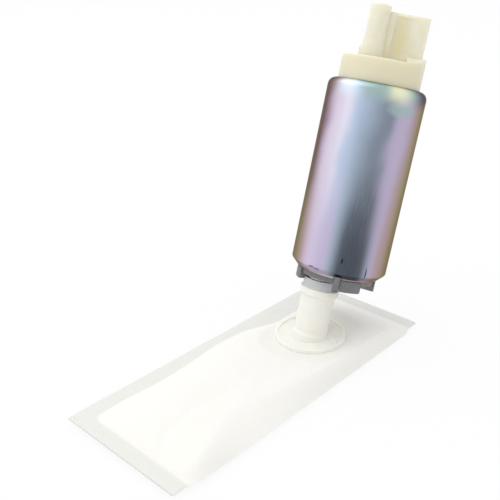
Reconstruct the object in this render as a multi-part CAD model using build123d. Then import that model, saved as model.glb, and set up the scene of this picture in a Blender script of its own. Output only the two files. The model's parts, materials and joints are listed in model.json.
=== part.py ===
from build123d import *
import os
from math import asin, cos, degrees, radians, sin, sqrt

# In-tank turbine fuel pump with its strainer, in millimetres.
# Row frame: the strainer pouch lies flat on the plane z = 0, +X runs along the pouch towards its
# short end, and the origin is under the centre of the neck's flange.
# The pump's own pieces are drawn in the pump frame: z up the pump's axis from the case's lower
# edge, x in the plane of the lean. One placement then sets them all in the row frame.

# General fits
fit_gap = 0.05          # radial gap between two pieces that are pressed or set together
running_gap = 0.04      # radial gap of a shaft in its bush or a slider in its guide
slide_gap = 0.08        # gap each side of a brush in its holder
shaft_gap = 0.01        # gap of a piece that is pressed on the shaft
overcut = 1.0           # how far a cut runs past the face that it opens
rooted = 0.5            # how far a rib or boss runs into what carries it

# Where the pump stands on its strainer
lean = 17.0             # angle of the pump's axis from the vertical, in degrees
inlet_x = -6.1          # inlet tube, from the pump's axis
inlet_y = 2.25
neck_reach = 26.5       # along the axis, flange ring to the case's lower edge
front = -147.3          # direction in the pump frame that the key faces, in degrees

# Case
case_radius = 19.0
case_wall = 1.5
case_length = 74.2
shoulder_radius = 3.0   # rolled upper edge, outside
crimp_size = 2.7        # lower edge, turned in at 45 degrees, both ways
crimp_wall = 1.0        # the turned edge is thinned
crimp_round = 1.2

# Pump cover, the casting at the bottom
cover_top = 7.0         # its upper face, above the case's lower edge
recess_floor = 1.2
rim_inset = 3.7         # from the case's outside
rim_wall = 1.5
rim_drop = 2.3          # below the case's lower edge
lug_inset = 3.1
lug_gap = 0.4           # between the lugs and the case's edge
lug_drop = 4.8
lug_round = 0.8
thin_lugs = [(-91, -60), (8, 40), (183, 224)]   # degrees from the front
deep_lug = (76, 112)
deep_lug_wall = 5.8
key_turn = 2.5          # degrees from the front
key_width = 2.3
key_inset = 0.8
key_drop = 4.9
key_rise = 1.2
notch_gap = 0.4         # round the key in the case's edge
boss_radius = 4.4       # under the thrust pad
boss_drop = 1.0
rib_wall = 1.3
rib_count = 6
inlet_collar = 1.2      # low ring round the inlet tube's root
inlet_collar_drop = 0.6
inlet_radius = 4.6
inlet_bore = 3.4
inlet_drop = 11.5
thrust_radius = 1.9
thrust_height = 1.5
thrust_floor = 3.5
shaft_clearance = 0.4   # round the shaft where it passes through a casting
passage_floor = 1.9     # way from the inlet's bore out to the channel
passage_height = 2.2
passage_radius = 1.7

# Flow channel, cut half into the cover and half into the housing
channel_width = 2.9
channel_depth = 1.3
channel_start = 172.0   # degrees in the pump frame, over the inlet
channel_sweep = 300.0

# Pump housing
housing_height = 9.0
chamber_gap = 0.15      # round the impeller
housing_boss_radius = 6.0
housing_boss_height = 3.0
port_radius = 1.3
bush_relief = 0.6       # below the bush in its boss
pocket_count = 6
pocket_inner = 9.0
pocket_edge = 3.0
pocket_depth = 1.6
pocket_span = (6, 38)   # degrees

# Impeller
impeller_inset = 2.45    # from the seat in the case
impeller_height = 3.6
impeller_side_gap = 0.06
vane_count = 36
vane_wall = 0.8
vane_length = 2.7
vane_web = 0.7
relief_hole_radius = 1.1
relief_hole_count = 4

# Shaft and bushes
shaft_radius = 2.0
shaft_flat = 1.5        # from the axis to the flat that drives the impeller
shaft_end_gap = 0.05    # above the thrust pad
shaft_rise = 3.9        # above the upper bush's lower face
shaft_chamfer = 0.4
bush_radius = 3.6
bush_length = 5.0
bush_chamfer = 0.4

# Armature
winding_start = 5.0     # above the housing's boss
winding_overhang = 4.5
air_gap = 0.7           # between the core and the magnets
winding_inset = 1.0     # the end bundles are this much smaller than the core
slot_count = 8
slot_width = 3.4
slot_lip = 1.3          # core outside the slots
slot_mouth = 1.3
slot_liner = 0.15       # insulation between core and winding
winding_step = 1.0      # the end bundles reach this far inside the slots
winding_round = 1.4
commutator_inset = 2.2  # smaller than the core
commutator_height = 3.2
commutator_gap = 1.2    # above the winding
bar_slit = 0.5
bar_slit_depth = 1.1
hub_margin = 2.0        # moulded hub inside the bars
hook_proud = 0.7
hook_width = 1.2
hook_height = 1.4

# Magnets and their clips
magnet_share = 0.25     # magnet wall as a share of the case's radius
magnet_beyond = 5.5     # the magnets reach this far past the core at each end
magnet_sweep = 140.0
magnet_turn = 90.0      # direction of the left magnet in the pump frame
magnet_chamfer = 0.5
clip_wall = 0.6
clip_share = 0.9        # of the magnet's length
clip_depth = 1.2        # the tabs stop this far short of the magnet's inner face

# Outlet cover
skirt_height = 12.6     # below the case's rolled edge
bush_depth = 2.0        # upper bush above the skirt's lower face
shaft_room = 1.0        # above the shaft's end
disc_inset = 3.3        # from the case's outside
disc_rise = 8.9         # above the case's upper edge
disc_round = 0.5
cover_turn = -57.3      # direction of the connector block in the pump frame
shelf_rise = 2.7
shelf_start = 8.2
ramp_front = 13.0       # the shelf's ramp starts this far in front of the axis
ramp_back = 4.6
nipple_x = -5.0
nipple_y = -6.4
nipple_radius = 3.75
nipple_root = 4.35      # it widens to this at the disc
nipple_rise = 19.0
nipple_straight = 9.6   # plain length at its end
nipple_chamfer = 0.4
nipple_bore = 1.9
block_start = 0.0
block_end = 13.8
block_depth = 10.4
block_rise = 17.3
block_round = 1.0
block_wall = 1.2
socket_depth = 10.5
web_depth = 2.4         # joins the block's front to the nipple's lower part
screen_depth = 2.2      # wall behind the nipple's plain end
hose_room = 1.25        # round the nipple's plain end
groove_middle = 5.1     # shallow round recess down the block's front
groove_width = 7.6
groove_depth = 0.6
groove_top = 1.2
latch_width = 5.0
latch_rise = 3.0
latch_proud = 1.1

# Terminals and chokes
blade_wall = 0.8
blade_width = 4.8
blade_inset = 1.6       # from the block's end to the blade
blade_short = 2.2       # below the socket's mouth
blade_seat = 10.4       # the blades start this far above the skirt's lower face
blade_chamfer = 0.8
choke_inset = 4.29      # from the seat in the case to the choke's middle
choke_turn = 36.35      # degrees from the brushes' direction
choke_radius = 2.5
choke_core_radius = 1.5
choke_length = 10.0
choke_turns = 8
choke_end = 0.5         # bare rod at each end

# Brushes
brush_share = 0.645     # of the space between the upper bush and the commutator's edge
brush_margin = 0.6      # inside the commutator's edge
brush_reach = 4.2       # the brushes stand out of their holders by this
brush_width = 4.4
brush_length = 9.0
brush_chamfer = 0.5
brush_spring_length = 7.5
spring_wire = 0.45
spring_turns = 5
brush_spring_inset = 0.4995  # from the brush's narrower sides to the middle of the wire

# Check valve in the nipple
valve_bore = 2.8
seat_height = 3.0
seat_depth = 10.9       # the valves' seats start this far above the skirt's lower face
seat_bore = 1.5
plunger_radius = 2.2
plunger_height = 2.0
stem_radius = 0.8
stem_length = 4.0
plunger_chamfer = 0.4
check_spring_length = 9.0
check_spring_radius = 1.7

# Relief valve behind the nipple
relief_x = -6.9
relief_y = 7.6
relief_radius = 3.6
relief_rise = 5.2
relief_chamfer = 0.6
relief_bore = 2.2
relief_vent = 1.2
ball_radius = 1.8
ball_gap = 0.03
relief_spring_length = 9.0
relief_spring_radius = 1.5

# Ring seal round the skirt
seal_wire = 0.9         # radius of the seal's section
seal_squeeze = 0.25     # flattened against the case
seal_below_top = 7.0

# Strainer neck
ring_height = 5.8       # top of the flange ring above the ground
flange_radius = 14.3
flange_wall = 1.4
bead_height = 0.5
bead_width = 1.3
neck_radius = 6.8
neck_foot = 0.7         # cone at the neck's foot
collar_radius = 7.85
collar_height = 3.0
collar_top = 7.2        # below the case's lower edge
throat_radius = 7.1
throat_top = 3.7        # below the case's lower edge
flange_rib_length = 7.4
flange_rib_wall = 1.2
flange_rib_place = -60.0    # where it leaves the neck, in degrees in the row frame
flange_rib_turn = -112.0    # where it points
under_flange_wall = 1.0
under_flange_margin = 3.0
ring_wall = 0.5
ring_radius = 6.2
ring_gap = 0.1          # above the neck's end
ring_teeth = 8
ring_slit = 0.7
ring_slit_depth = 0.8

# Pouch
pouch_length = 136.0
pouch_width = 55.0
pouch_short_end = 39.9  # flange centre to the short end
pouch_shift = 2.3       # middle of the pouch, across, from the flange's centre
weld_height = 2.0       # middle of the welded edge above the ground
weld_wall = 1.0
end_weld = 7.4
side_weld = 5.8
crown = 6.5             # highest cloth
fold_bulge = 1.3        # the folded side stands out by this
cloth_wall = 0.7
pouch_rise = 11.0       # length over which the pouch swells from its end welds
first_rise = 0.35       # share of that length in which most of the swell comes
first_swell = 0.72
ground_reach = 1.5      # the flat underside ends this far from the end welds
ground_swell = 0.35
back_slope = (2.5, 2.6) # corners of the pillow: across from its edge, down from its crown
back_shoulder = (6.5, 0.9)
fold_shoulder = (6.0, 0.5)
fold_slope = (2.0, 1.7)
fold_foot = (0.8, 0.9)
crown_half = 9.0
ground_edge = 4.5       # the flat underside starts this far inside the pillow's edges
spacer_wall = 1.8
spacer_bar = 2.0
spacer_rows = 3
spacer_columns = 9
spacer_margin = 9.0     # from the spacer to the pouch's sides
spacer_shift = -1.9     # towards the fold

# Worked out from the sizes above
bore_radius = case_radius - case_wall
seat_radius = bore_radius - fit_gap
lip_radius = case_radius - crimp_size
rim_radius = case_radius - rim_inset
lug_radius = case_radius - lug_inset
key_radius = case_radius - key_inset
deep_lug_inner = rim_radius - deep_lug_wall
disc_radius = case_radius - disc_inset
impeller_radius = seat_radius - impeller_inset
vane_root = impeller_radius - vane_length
relief_hole_circle = impeller_radius / 2
channel_outer = impeller_radius - 2 * fit_gap
channel_inner = channel_outer - channel_width
magnet_inner = seat_radius - case_radius * magnet_share
core_radius = magnet_inner - air_gap
winding_radius = core_radius - winding_inset
slot_outer = core_radius - slot_lip
slot_inner = slot_outer / 2
commutator_radius = core_radius - commutator_inset
brush_depth = (commutator_radius - bush_radius) * brush_share
brush_offset = commutator_radius - brush_margin - brush_depth / 2
brush_spring_radius = min(brush_depth, brush_width) / 2 - brush_spring_inset
choke_x = (seat_radius - choke_inset) * cos(radians(choke_turn))
choke_y = (seat_radius - choke_inset) * sin(radians(choke_turn))
upper_lip = case_radius - shoulder_radius
root2 = sqrt(2.0)
chamber_height = impeller_height + 2 * impeller_side_gap
housing_top = cover_top + housing_height
boss_top = housing_top + housing_boss_height
shaft_start = thrust_floor + thrust_height + shaft_end_gap
winding_low = boss_top + winding_start - winding_overhang
core_low = boss_top + winding_start
skirt_top = case_length - case_wall
skirt_low = skirt_top - skirt_height
commutator_high = skirt_low - brush_reach
commutator_low = commutator_high - commutator_height
winding_high = commutator_low - commutator_gap
core_high = winding_high - winding_overhang
core_length = core_high - core_low
magnet_low = core_low - magnet_beyond
magnet_length = core_length + 2 * magnet_beyond
blade_root = skirt_low + blade_seat
seat_floor = skirt_low + seat_depth
upper_bush_low = skirt_low + bush_depth
shaft_top = upper_bush_low + shaft_rise
disc_top = case_length + disc_rise
nipple_top = disc_top + nipple_rise
block_top = disc_top + block_rise
socket_floor = block_top - socket_depth
brush_top = commutator_high + brush_length
brush_well_top = brush_top + brush_spring_length
plunger_low = seat_floor + seat_height
valve_step = plunger_low + plunger_height + check_spring_length
ball_height = sqrt(ball_radius ** 2 - seat_bore ** 2)
relief_step = plunger_low + ball_height + ball_gap + ball_radius + relief_spring_length
neck_bore = inlet_radius + fit_gap
flange_low = ring_height - bead_height - flange_wall
under_low = flange_low - cloth_wall - under_flange_wall

# Pump frame to row frame
ring_place = Location((0, 0, ring_height), (0, lean, 0))
pump_place = ring_place * Location((-inlet_x, -inlet_y, neck_reach))


def turned(points):
    """A solid of revolution about the pump's axis, from its half section of (radius, z) points."""
    section = Plane.XZ * make_face(Polyline(*points, close=True))
    return revolve(section, Axis.Z, 360)


def disc(radius, low, high, x=0.0, y=0.0):
    """An upright cylinder between two heights."""
    return Pos(x, y, low) * extrude(Circle(radius), high - low)


def tube(outer, inner, low, high, x=0.0, y=0.0):
    """An upright tube between two heights."""
    return Pos(x, y, low) * extrude(Circle(outer) - Circle(inner), high - low)


def block(x_low, x_high, y_low, y_high, z_low, z_high):
    """A rectangular block between six planes."""
    middle = Pos((x_low + x_high) / 2, (y_low + y_high) / 2, (z_low + z_high) / 2)
    return middle * Box(x_high - x_low, y_high - y_low, z_high - z_low)


def sector(inner, outer, start, end, low, high):
    """Part of an upright ring, from one angle to another in degrees."""
    section = Plane.XZ * Pos((inner + outer) / 2, (low + high) / 2) * Rectangle(outer - inner, high - low)
    return Rot(0, 0, start) * revolve(section, Axis.Z, end - start)


def coil_spring(radius, length, turns, x, y, low):
    """A compression spring with square wire, standing at (x, y) on the height low."""
    travel = length - spring_wire
    helix = Helix(pitch=travel / turns, height=travel, radius=radius)
    start = Plane(origin=helix @ 0, x_dir=(1, 0, 0), z_dir=helix % 0)
    wire = sweep(start * Rectangle(spring_wire, spring_wire), path=helix, is_frenet=True)
    return Pos(x, y, low + spring_wire / 2) * wire


def bush(low):
    """A plain bearing bush with chamfered ends."""
    body = tube(bush_radius - fit_gap, shaft_radius + running_gap, low, low + bush_length)
    rims = [edge for edge in body.edges().filter_by(GeomType.CIRCLE) if edge.radius > shaft_radius + 1]
    return chamfer(rims, bush_chamfer)


# Case

def make_case():
    """The steel tube: turned in at 45 degrees below, rolled over a radius above, notched for the key."""
    inner_shift = lip_radius - crimp_wall * root2
    knee = bore_radius - inner_shift
    inner_roll = shoulder_radius - case_wall
    roll_low = case_length - shoulder_radius
    lip_inner = lip_radius - crimp_wall / root2
    outline = [
        Line((lip_inner, crimp_wall / root2), (lip_radius, 0)),
        Line((lip_radius, 0), (case_radius, crimp_size)),
        Line((case_radius, crimp_size), (case_radius, roll_low)),
        CenterArc((upper_lip, roll_low), shoulder_radius, 0, 90),
        Line((upper_lip, case_length), (upper_lip, skirt_top)),
        CenterArc((upper_lip, roll_low), inner_roll, 90, -90),
        Line((bore_radius, roll_low), (bore_radius, knee)),
        Line((bore_radius, knee), (lip_inner, crimp_wall / root2)),
    ]
    section = Plane.XZ * make_face(outline)
    shell = revolve(section, Axis.Z, 360)
    corner = [edge for edge in shell.edges()
              if edge.geom_type == GeomType.CIRCLE and abs(edge.radius - case_radius) < 1e-4
              and edge.center().Z < 2 * crimp_size]
    shell = fillet(corner, crimp_round)
    half = key_width / 2 + notch_gap
    notch = block(rim_radius, key_radius + overcut, -half, half, -overcut, key_rise + notch_gap)
    return shell - Rot(0, 0, front + key_turn) * notch


# Pump section

def channel(low, high):
    """The flow channel's space, a ring that stops short of closing."""
    return sector(channel_inner, channel_outer, channel_start, channel_start + channel_sweep, low, high)


def make_pump_cover():
    """The bottom casting: plate, rim, lugs, key, ribs and inlet tube, with the channel in its top."""
    shift = lip_radius - crimp_wall * root2 - fit_gap * root2
    rim_inner = rim_radius - rim_wall
    body = turned([
        (0, recess_floor), (rim_inner, recess_floor), (rim_inner, -rim_drop), (rim_radius, -rim_drop),
        (rim_radius, rim_radius - shift), (seat_radius, seat_radius - shift),
        (seat_radius, cover_top), (0, cover_top),
    ])
    lugs = [(rim_inner, first, last) for first, last in thin_lugs] + [(deep_lug_inner, *deep_lug)]
    for inner, first, last in lugs:
        lug = sector(inner, lug_radius, front + first, front + last, -lug_drop, -lug_gap)
        ends = lug.faces().sort_by(Axis.Z)[0].edges().filter_by(GeomType.LINE)
        body += fillet(ends, lug_round)
    first, last = deep_lug
    body += sector(deep_lug_inner, rim_radius, front + first, front + last, -lug_gap - rooted, recess_floor)
    key = block(rim_radius - rim_wall / 2, key_radius, -key_width / 2, key_width / 2, -key_drop, key_rise)
    lower = key.edges().filter_by(Axis.Y).sort_by(Axis.Z)[:2].sort_by(Axis.X)[-1]
    body += Rot(0, 0, front + key_turn) * chamfer(lower, key_width * 0.4)
    body += disc(boss_radius, -boss_drop, recess_floor)
    pitch = 360 / rib_count
    half = rib_wall / 2
    rib = block(boss_radius - rooted, rim_inner + rooted, -half, half, -boss_drop / 2, recess_floor)
    for count in range(rib_count):
        body += Rot(0, 0, front + pitch * (count + 0.5)) * rib
    body += disc(inlet_radius + inlet_collar, -inlet_collar_drop, recess_floor, inlet_x, inlet_y)
    body += disc(inlet_radius, -inlet_drop, recess_floor, inlet_x, inlet_y)
    body -= disc(inlet_bore, -inlet_drop - overcut, passage_floor + passage_height, inlet_x, inlet_y)
    middle = (channel_inner + channel_outer) / 2
    start = radians(channel_start + degrees(asin(passage_radius / middle)))
    port = Pos(middle * cos(start), middle * sin(start)) * Circle(passage_radius)
    well = Pos(inlet_x, inlet_y) * Circle(passage_radius)
    passage = make_hull(port.edges() + well.edges())
    body -= Pos(0, 0, passage_floor) * extrude(passage, passage_height)
    body -= Pos(0, 0, passage_floor) * extrude(port, cover_top)
    body -= channel(cover_top - channel_depth, cover_top + overcut)
    body -= disc(shaft_radius + shaft_clearance, thrust_floor + thrust_height, cover_top + overcut)
    body -= disc(thrust_radius + fit_gap, thrust_floor, cover_top + overcut)
    return body


def make_pump_housing():
    """The upper casting: impeller chamber below, bearing boss above, outlet port at the channel's end."""
    ceiling = cover_top + chamber_height
    body = turned([
        (0, cover_top), (seat_radius, cover_top), (seat_radius, housing_top),
        (housing_boss_radius * 1.25, housing_top), (housing_boss_radius, boss_top), (0, boss_top),
    ])
    body -= disc(impeller_radius + chamber_gap, cover_top - overcut, ceiling)
    body -= channel(ceiling - rooted, ceiling + channel_depth)
    middle = (channel_inner + channel_outer) / 2
    end = radians(channel_start + channel_sweep - degrees(asin(port_radius / middle)))
    body -= disc(port_radius, ceiling, housing_top + overcut, middle * cos(end), middle * sin(end))
    body -= disc(shaft_radius + shaft_clearance, ceiling - overcut, boss_top + overcut)
    body -= disc(bush_radius, boss_top - bush_length - bush_relief, boss_top + overcut)
    first, last = pocket_span
    pocket = sector(pocket_inner, seat_radius - pocket_edge, first, last,
                    housing_top - pocket_depth, housing_top + overcut)
    for count in range(pocket_count):
        body -= Rot(0, 0, channel_start + 360 / pocket_count * count) * pocket
    return body


def make_impeller():
    """A disc whose rim has a ring of vane pockets in each face, parted by a thin web."""
    low = cover_top + impeller_side_gap
    high = low + impeller_height
    body = disc(impeller_radius, low, high)
    depth = (impeller_height - vane_web) / 2
    pitch = 360 / vane_count
    root_angle = pitch - degrees(vane_wall / vane_root)
    lower = sector(vane_root, impeller_radius + overcut, 0, root_angle, low - overcut, low + depth)
    upper = sector(vane_root, impeller_radius + overcut, 0, root_angle, high - depth, high + overcut)
    pockets = []
    for count in range(vane_count):
        turn = Rot(0, 0, pitch * count)
        pockets.append(turn * lower)
        pockets.append(turn * upper)
    body -= pockets
    for count in range(relief_hole_count):
        hole = disc(relief_hole_radius, low - overcut, high + overcut, relief_hole_circle)
        body -= Rot(0, 0, 360 / relief_hole_count * (count + 0.5)) * hole
    bore = disc(shaft_radius + running_gap, low - overcut, high + overcut)
    bore -= block(shaft_flat + running_gap, impeller_radius, -shaft_radius * 2, shaft_radius * 2,
                  low - 2 * overcut, high + 2 * overcut)
    return body - bore


def make_shaft():
    """The shaft, with a flat where it drives the impeller and chamfered ends."""
    body = disc(shaft_radius, shaft_start, shaft_top)
    body = chamfer(body.edges().filter_by(GeomType.CIRCLE), shaft_chamfer)
    flat_top = cover_top + chamber_height
    return body - block(shaft_flat, shaft_radius + overcut, -shaft_radius * 2, shaft_radius * 2,
                        shaft_start - overcut, flat_top)


# Armature

def slot_outline(inset):
    """One core slot, drawn along +X and shrunk by inset on every side."""
    width = slot_width - 2 * inset
    length = slot_outer - slot_inner - 2 * inset
    middle = (slot_outer + slot_inner) / 2
    return Pos(middle, 0) * RectangleRounded(length, width, min(length, width) * 0.3)


def make_core():
    """The laminated core: a slotted disc stack with open slot mouths."""
    mouth_inner = slot_outer - rooted
    mouth_length = core_radius + overcut - mouth_inner
    slot = slot_outline(0) + Pos(mouth_inner + mouth_length / 2, 0) * Rectangle(mouth_length, slot_mouth)
    slots = Sketch() + [Rot(0, 0, 360 / slot_count * count) * slot for count in range(slot_count)]
    section = Circle(core_radius) - slots - Circle(shaft_radius + shaft_gap)
    return Pos(0, 0, core_low) * extrude(section, core_length)


def make_winding():
    """The copper: a rounded bundle at each end of the core, joined through the slots."""
    ends = []
    for low in (winding_low, core_high + slot_liner):
        bundle = tube(winding_radius, slot_inner - winding_step, low, low + winding_overhang - slot_liner)
        rims = bundle.edges().filter_by(GeomType.CIRCLE)
        ends.append(fillet(rims, min(winding_round, winding_overhang / 4)))
    body = ends[0] + ends[1]
    bar = Pos(0, 0, core_low - rooted) * extrude(slot_outline(slot_liner), core_length + 2 * rooted)
    for count in range(slot_count):
        body += Rot(0, 0, 360 / slot_count * count) * bar
    return body


def make_commutator():
    """The flat commutator: eight bars round a moulded hub, parted by slits, with a hook on each bar."""
    body = tube(commutator_radius, shaft_radius + shaft_gap, commutator_low, commutator_high)
    slit = block(shaft_radius + hub_margin, commutator_radius + overcut, -bar_slit / 2, bar_slit / 2,
                 commutator_high - bar_slit_depth, commutator_high + overcut)
    hook = block(commutator_radius - rooted, commutator_radius + hook_proud,
                 -hook_width / 2, hook_width / 2, commutator_low, commutator_low + hook_height)
    pitch = 360 / slot_count
    for count in range(slot_count):
        body -= Rot(0, 0, pitch * (count + 0.5)) * slit
        body += Rot(0, 0, pitch * count) * hook
    return body


# Stator

def make_magnet(turn):
    """One arc magnet against the case's wall."""
    half = magnet_sweep / 2
    high = magnet_low + magnet_length
    body = sector(magnet_inner, seat_radius, turn - half, turn + half, magnet_low, high)
    return chamfer(body.edges().filter_by(Axis.Z), magnet_chamfer)


def make_clip(turn):
    """The spring clip that pushes the two magnets apart: a curved back with a tab at each side."""
    half = 90 - magnet_sweep / 2 - degrees(fit_gap / magnet_inner)
    tab = degrees(clip_wall / magnet_inner)
    tab_inner = magnet_inner + clip_depth
    high = magnet_low + magnet_length * clip_share
    body = sector(seat_radius - clip_wall, seat_radius, turn - half, turn + half, magnet_low, high)
    body += sector(tab_inner, seat_radius, turn - half, turn - half + tab, magnet_low, high)
    body += sector(tab_inner, seat_radius, turn + half - tab, turn + half, magnet_low, high)
    return body


# Outlet cover, drawn with the connector block along +X and the pump's front along -Y

def make_outlet_cover():
    """The moulded cover: skirt, disc, nipple, connector block, relief boss and the wells inside."""
    roll_low = case_length - shoulder_radius
    shoulder = skirt_top - fit_gap
    section = make_face([
        Line((0, skirt_low), (seat_radius, skirt_low)),
        Line((seat_radius, skirt_low), (seat_radius, roll_low)),
        CenterArc((upper_lip, roll_low), shoulder - roll_low, 0, 90),
        Line((upper_lip, shoulder), (disc_radius, shoulder)),
        Line((disc_radius, shoulder), (disc_radius, disc_top)),
        Line((disc_radius, disc_top), (0, disc_top)),
        Line((0, disc_top), (0, skirt_low)),
    ])
    body = revolve(Plane.XZ * section, Axis.Z, 360)
    rim = body.edges().filter_by(GeomType.CIRCLE).sort_by(Axis.Z)[-1]
    body = fillet(rim, disc_round)
    body += make_shelf()
    body += make_nipple_outside()
    body += make_connector_outside()
    body += make_relief_outside()
    seal_middle = skirt_top - seal_below_top
    groove_floor = bore_radius - 2 * seal_wire + seal_squeeze - fit_gap
    body -= tube(seat_radius + overcut, groove_floor, seal_middle - seal_wire, seal_middle + seal_wire)
    body -= make_motor_side_wells()
    body -= make_socket()
    body -= make_nipple_inside()
    body -= make_relief_inside()
    return Rot(0, 0, cover_turn) * body


def make_shelf():
    """The raised part of the disc round the connector block's far end, with a ramp at its front."""
    high = disc_top + shelf_rise
    outer = disc_radius + overcut
    edge = disc(disc_radius, disc_top - overcut, high)
    edge &= block(shelf_start, outer, -outer, outer, disc_top - overcut, high)
    ramp = make_face(Plane.YZ * Polyline(
        (-ramp_front, disc_top), (-ramp_back, high), (-ramp_back, high + overcut),
        (-outer, high + overcut), (-outer, disc_top), close=True))
    return edge - Pos(shelf_start - overcut, 0, 0) * extrude(ramp, outer)


def make_nipple_outside():
    """The outlet nipple: plain at its end, widening towards the disc."""
    return Pos(nipple_x, nipple_y) * turned([
        (0, disc_top - rooted), (nipple_root, disc_top - rooted), (nipple_root, disc_top),
        (nipple_radius, nipple_top - nipple_straight), (nipple_radius, nipple_top - nipple_chamfer),
        (nipple_radius - nipple_chamfer, nipple_top), (0, nipple_top),
    ])


def make_connector_outside():
    """The connector block, its front groove, the wall behind the nipple and the latch bar at the rear."""
    rear = block_depth / 2
    body = block(block_start, block_end, -rear, rear, disc_top - rooted, block_top)
    body = fillet(body.edges().filter_by(Axis.Z), block_round)
    body += block(nipple_x, block_start + block_round, -rear, web_depth - rear,
                  disc_top - rooted, nipple_top - nipple_straight)
    screen_front = nipple_y + nipple_radius + hose_room
    body += block(nipple_x + nipple_radius / 2, block_start + block_round, screen_front,
                  screen_front + screen_depth, disc_top - rooted, block_top)
    round_radius = (groove_width ** 2 / 4 + groove_depth ** 2) / (2 * groove_depth)
    body -= disc(round_radius, disc_top + rooted, block_top - groove_top,
                 block_start + groove_middle, groove_depth - rear - round_radius)
    middle = (block_start + block_end) / 2
    body += block(middle - latch_width / 2, middle + latch_width / 2, rear - rooted, rear + latch_proud,
                  socket_floor, socket_floor + latch_rise)
    return body


def make_socket():
    """The space inside the connector block, and the two slots that hold the terminals."""
    rear = block_depth / 2 - block_wall
    space = block(block_start + block_wall, block_end - block_wall, groove_depth / 2 - rear, rear,
                  socket_floor, block_top + overcut)
    space = fillet(space.edges().filter_by(Axis.Z), block_round / 2)
    half_wall = blade_wall / 2 + fit_gap
    half_width = blade_width / 2 + fit_gap
    for x in blade_places():
        space += block(x - half_wall, x + half_wall, -half_width, half_width,
                       blade_root, socket_floor + overcut)
    return space


def blade_places():
    """Where the two terminals stand along the connector block."""
    return block_start + block_wall + blade_inset, block_end - block_wall - blade_inset


def make_nipple_inside():
    """The valve bore from below, stepped down to the nipple's outlet bore."""
    bore = disc(valve_bore, skirt_low - overcut, valve_step, nipple_x, nipple_y)
    return bore + disc(nipple_bore, valve_step - rooted, nipple_top + overcut, nipple_x, nipple_y)


def make_relief_outside():
    """The relief valve's low boss on the disc."""
    boss = disc(relief_radius, disc_top - rooted, disc_top + relief_rise, relief_x, relief_y)
    return chamfer(boss.edges().sort_by(Axis.Z)[-1], relief_chamfer)


def make_relief_inside():
    """The relief valve's bore from below and its vent on top."""
    bore = disc(relief_bore, skirt_low - overcut, relief_step, relief_x, relief_y)
    vent_top = disc_top + relief_rise + overcut
    return bore + disc(relief_vent, relief_step - rooted, vent_top, relief_x, relief_y)


def make_motor_side_wells():
    """Holes from below for the upper bush, the brushes and the chokes."""
    low = skirt_low - overcut
    wells = disc(bush_radius, upper_bush_low, upper_bush_low + bush_length)
    shaft_end = max(shaft_top, upper_bush_low + bush_length)
    wells += disc(shaft_radius + shaft_clearance, low, shaft_end + shaft_room)
    half_depth = brush_depth / 2 + slide_gap
    half_width = brush_width / 2 + slide_gap
    for side in (1, -1):
        middle = side * brush_offset
        wells += block(middle - half_depth, middle + half_depth, -half_width, half_width,
                       low, brush_well_top)
        wells += disc(choke_radius + fit_gap, low, skirt_low + choke_length, choke_x, side * choke_y)
    return wells


# Electrical pieces

def make_brush(side):
    """One carbon brush, standing on the commutator."""
    middle = side * brush_offset
    body = block(middle - brush_depth / 2, middle + brush_depth / 2, -brush_width / 2, brush_width / 2,
                 commutator_high, brush_top)
    body = chamfer(body.faces().sort_by(Axis.Z)[-1].edges(), brush_chamfer)
    return Rot(0, 0, cover_turn) * body


def make_brush_spring(side):
    """The spring above one brush."""
    return Rot(0, 0, cover_turn) * coil_spring(
        brush_spring_radius, brush_spring_length, spring_turns, side * brush_offset, 0, brush_top)


def make_choke(side):
    """A ferrite rod with its turns of wire, as one wound part."""
    top = skirt_low + choke_length
    flank = choke_core_radius + (choke_radius - choke_core_radius) * 0.6
    pitch = (choke_length - 2 * choke_end) / choke_turns
    points = [(0, skirt_low), (choke_core_radius, skirt_low), (choke_core_radius, skirt_low + choke_end)]
    for count in range(choke_turns):
        base = skirt_low + choke_end + pitch * count
        points += [(flank, base + pitch * 0.1), (choke_radius, base + pitch * 0.5),
                   (flank, base + pitch * 0.9)]
    points += [(choke_core_radius, top - choke_end), (choke_core_radius, top), (0, top)]
    return Rot(0, 0, cover_turn) * Pos(choke_x, side * choke_y, 0) * turned(points)


def make_terminal(x):
    """One blade, with a tapered tip, standing in the connector socket."""
    top = block_top - blade_short
    half = blade_wall / 2
    body = block(x - half, x + half, -blade_width / 2, blade_width / 2, blade_root, top)
    tip = body.faces().sort_by(Axis.Z)[-1].edges().filter_by(Axis.X)
    return Rot(0, 0, cover_turn) * chamfer(tip, blade_chamfer)


# Valves and seal

def make_seat(x, y, radius):
    """A valve seat ring pressed into its bore."""
    ring = tube(radius - fit_gap, seat_bore, seat_floor, plunger_low, x, y)
    return Rot(0, 0, cover_turn) * ring


def make_plunger():
    """The check valve's head and stem."""
    head = disc(plunger_radius, plunger_low, plunger_low + plunger_height, nipple_x, nipple_y)
    head = chamfer(head.edges().sort_by(Axis.Z)[-1], plunger_chamfer)
    top = plunger_low + plunger_height + stem_length
    return Rot(0, 0, cover_turn) * (head + disc(stem_radius, plunger_low, top, nipple_x, nipple_y))


def make_relief_ball():
    """The relief valve's ball, just clear of its seat's edge."""
    centre = plunger_low + ball_height + ball_gap
    return Rot(0, 0, cover_turn) * Pos(relief_x, relief_y, centre) * Sphere(ball_radius)


def make_seal():
    """The ring seal, flattened a little where it meets the case."""
    middle = skirt_top - seal_below_top
    centre = bore_radius - seal_wire + seal_squeeze - fit_gap
    section = Pos(centre, middle) * Circle(seal_wire - fit_gap)
    section &= Pos(seat_radius - seal_wire * 2, middle) * Rectangle(seal_wire * 4, seal_wire * 4)
    return revolve(Plane.XZ * section, Axis.Z, 360)


# Strainer, in the row frame

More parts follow.
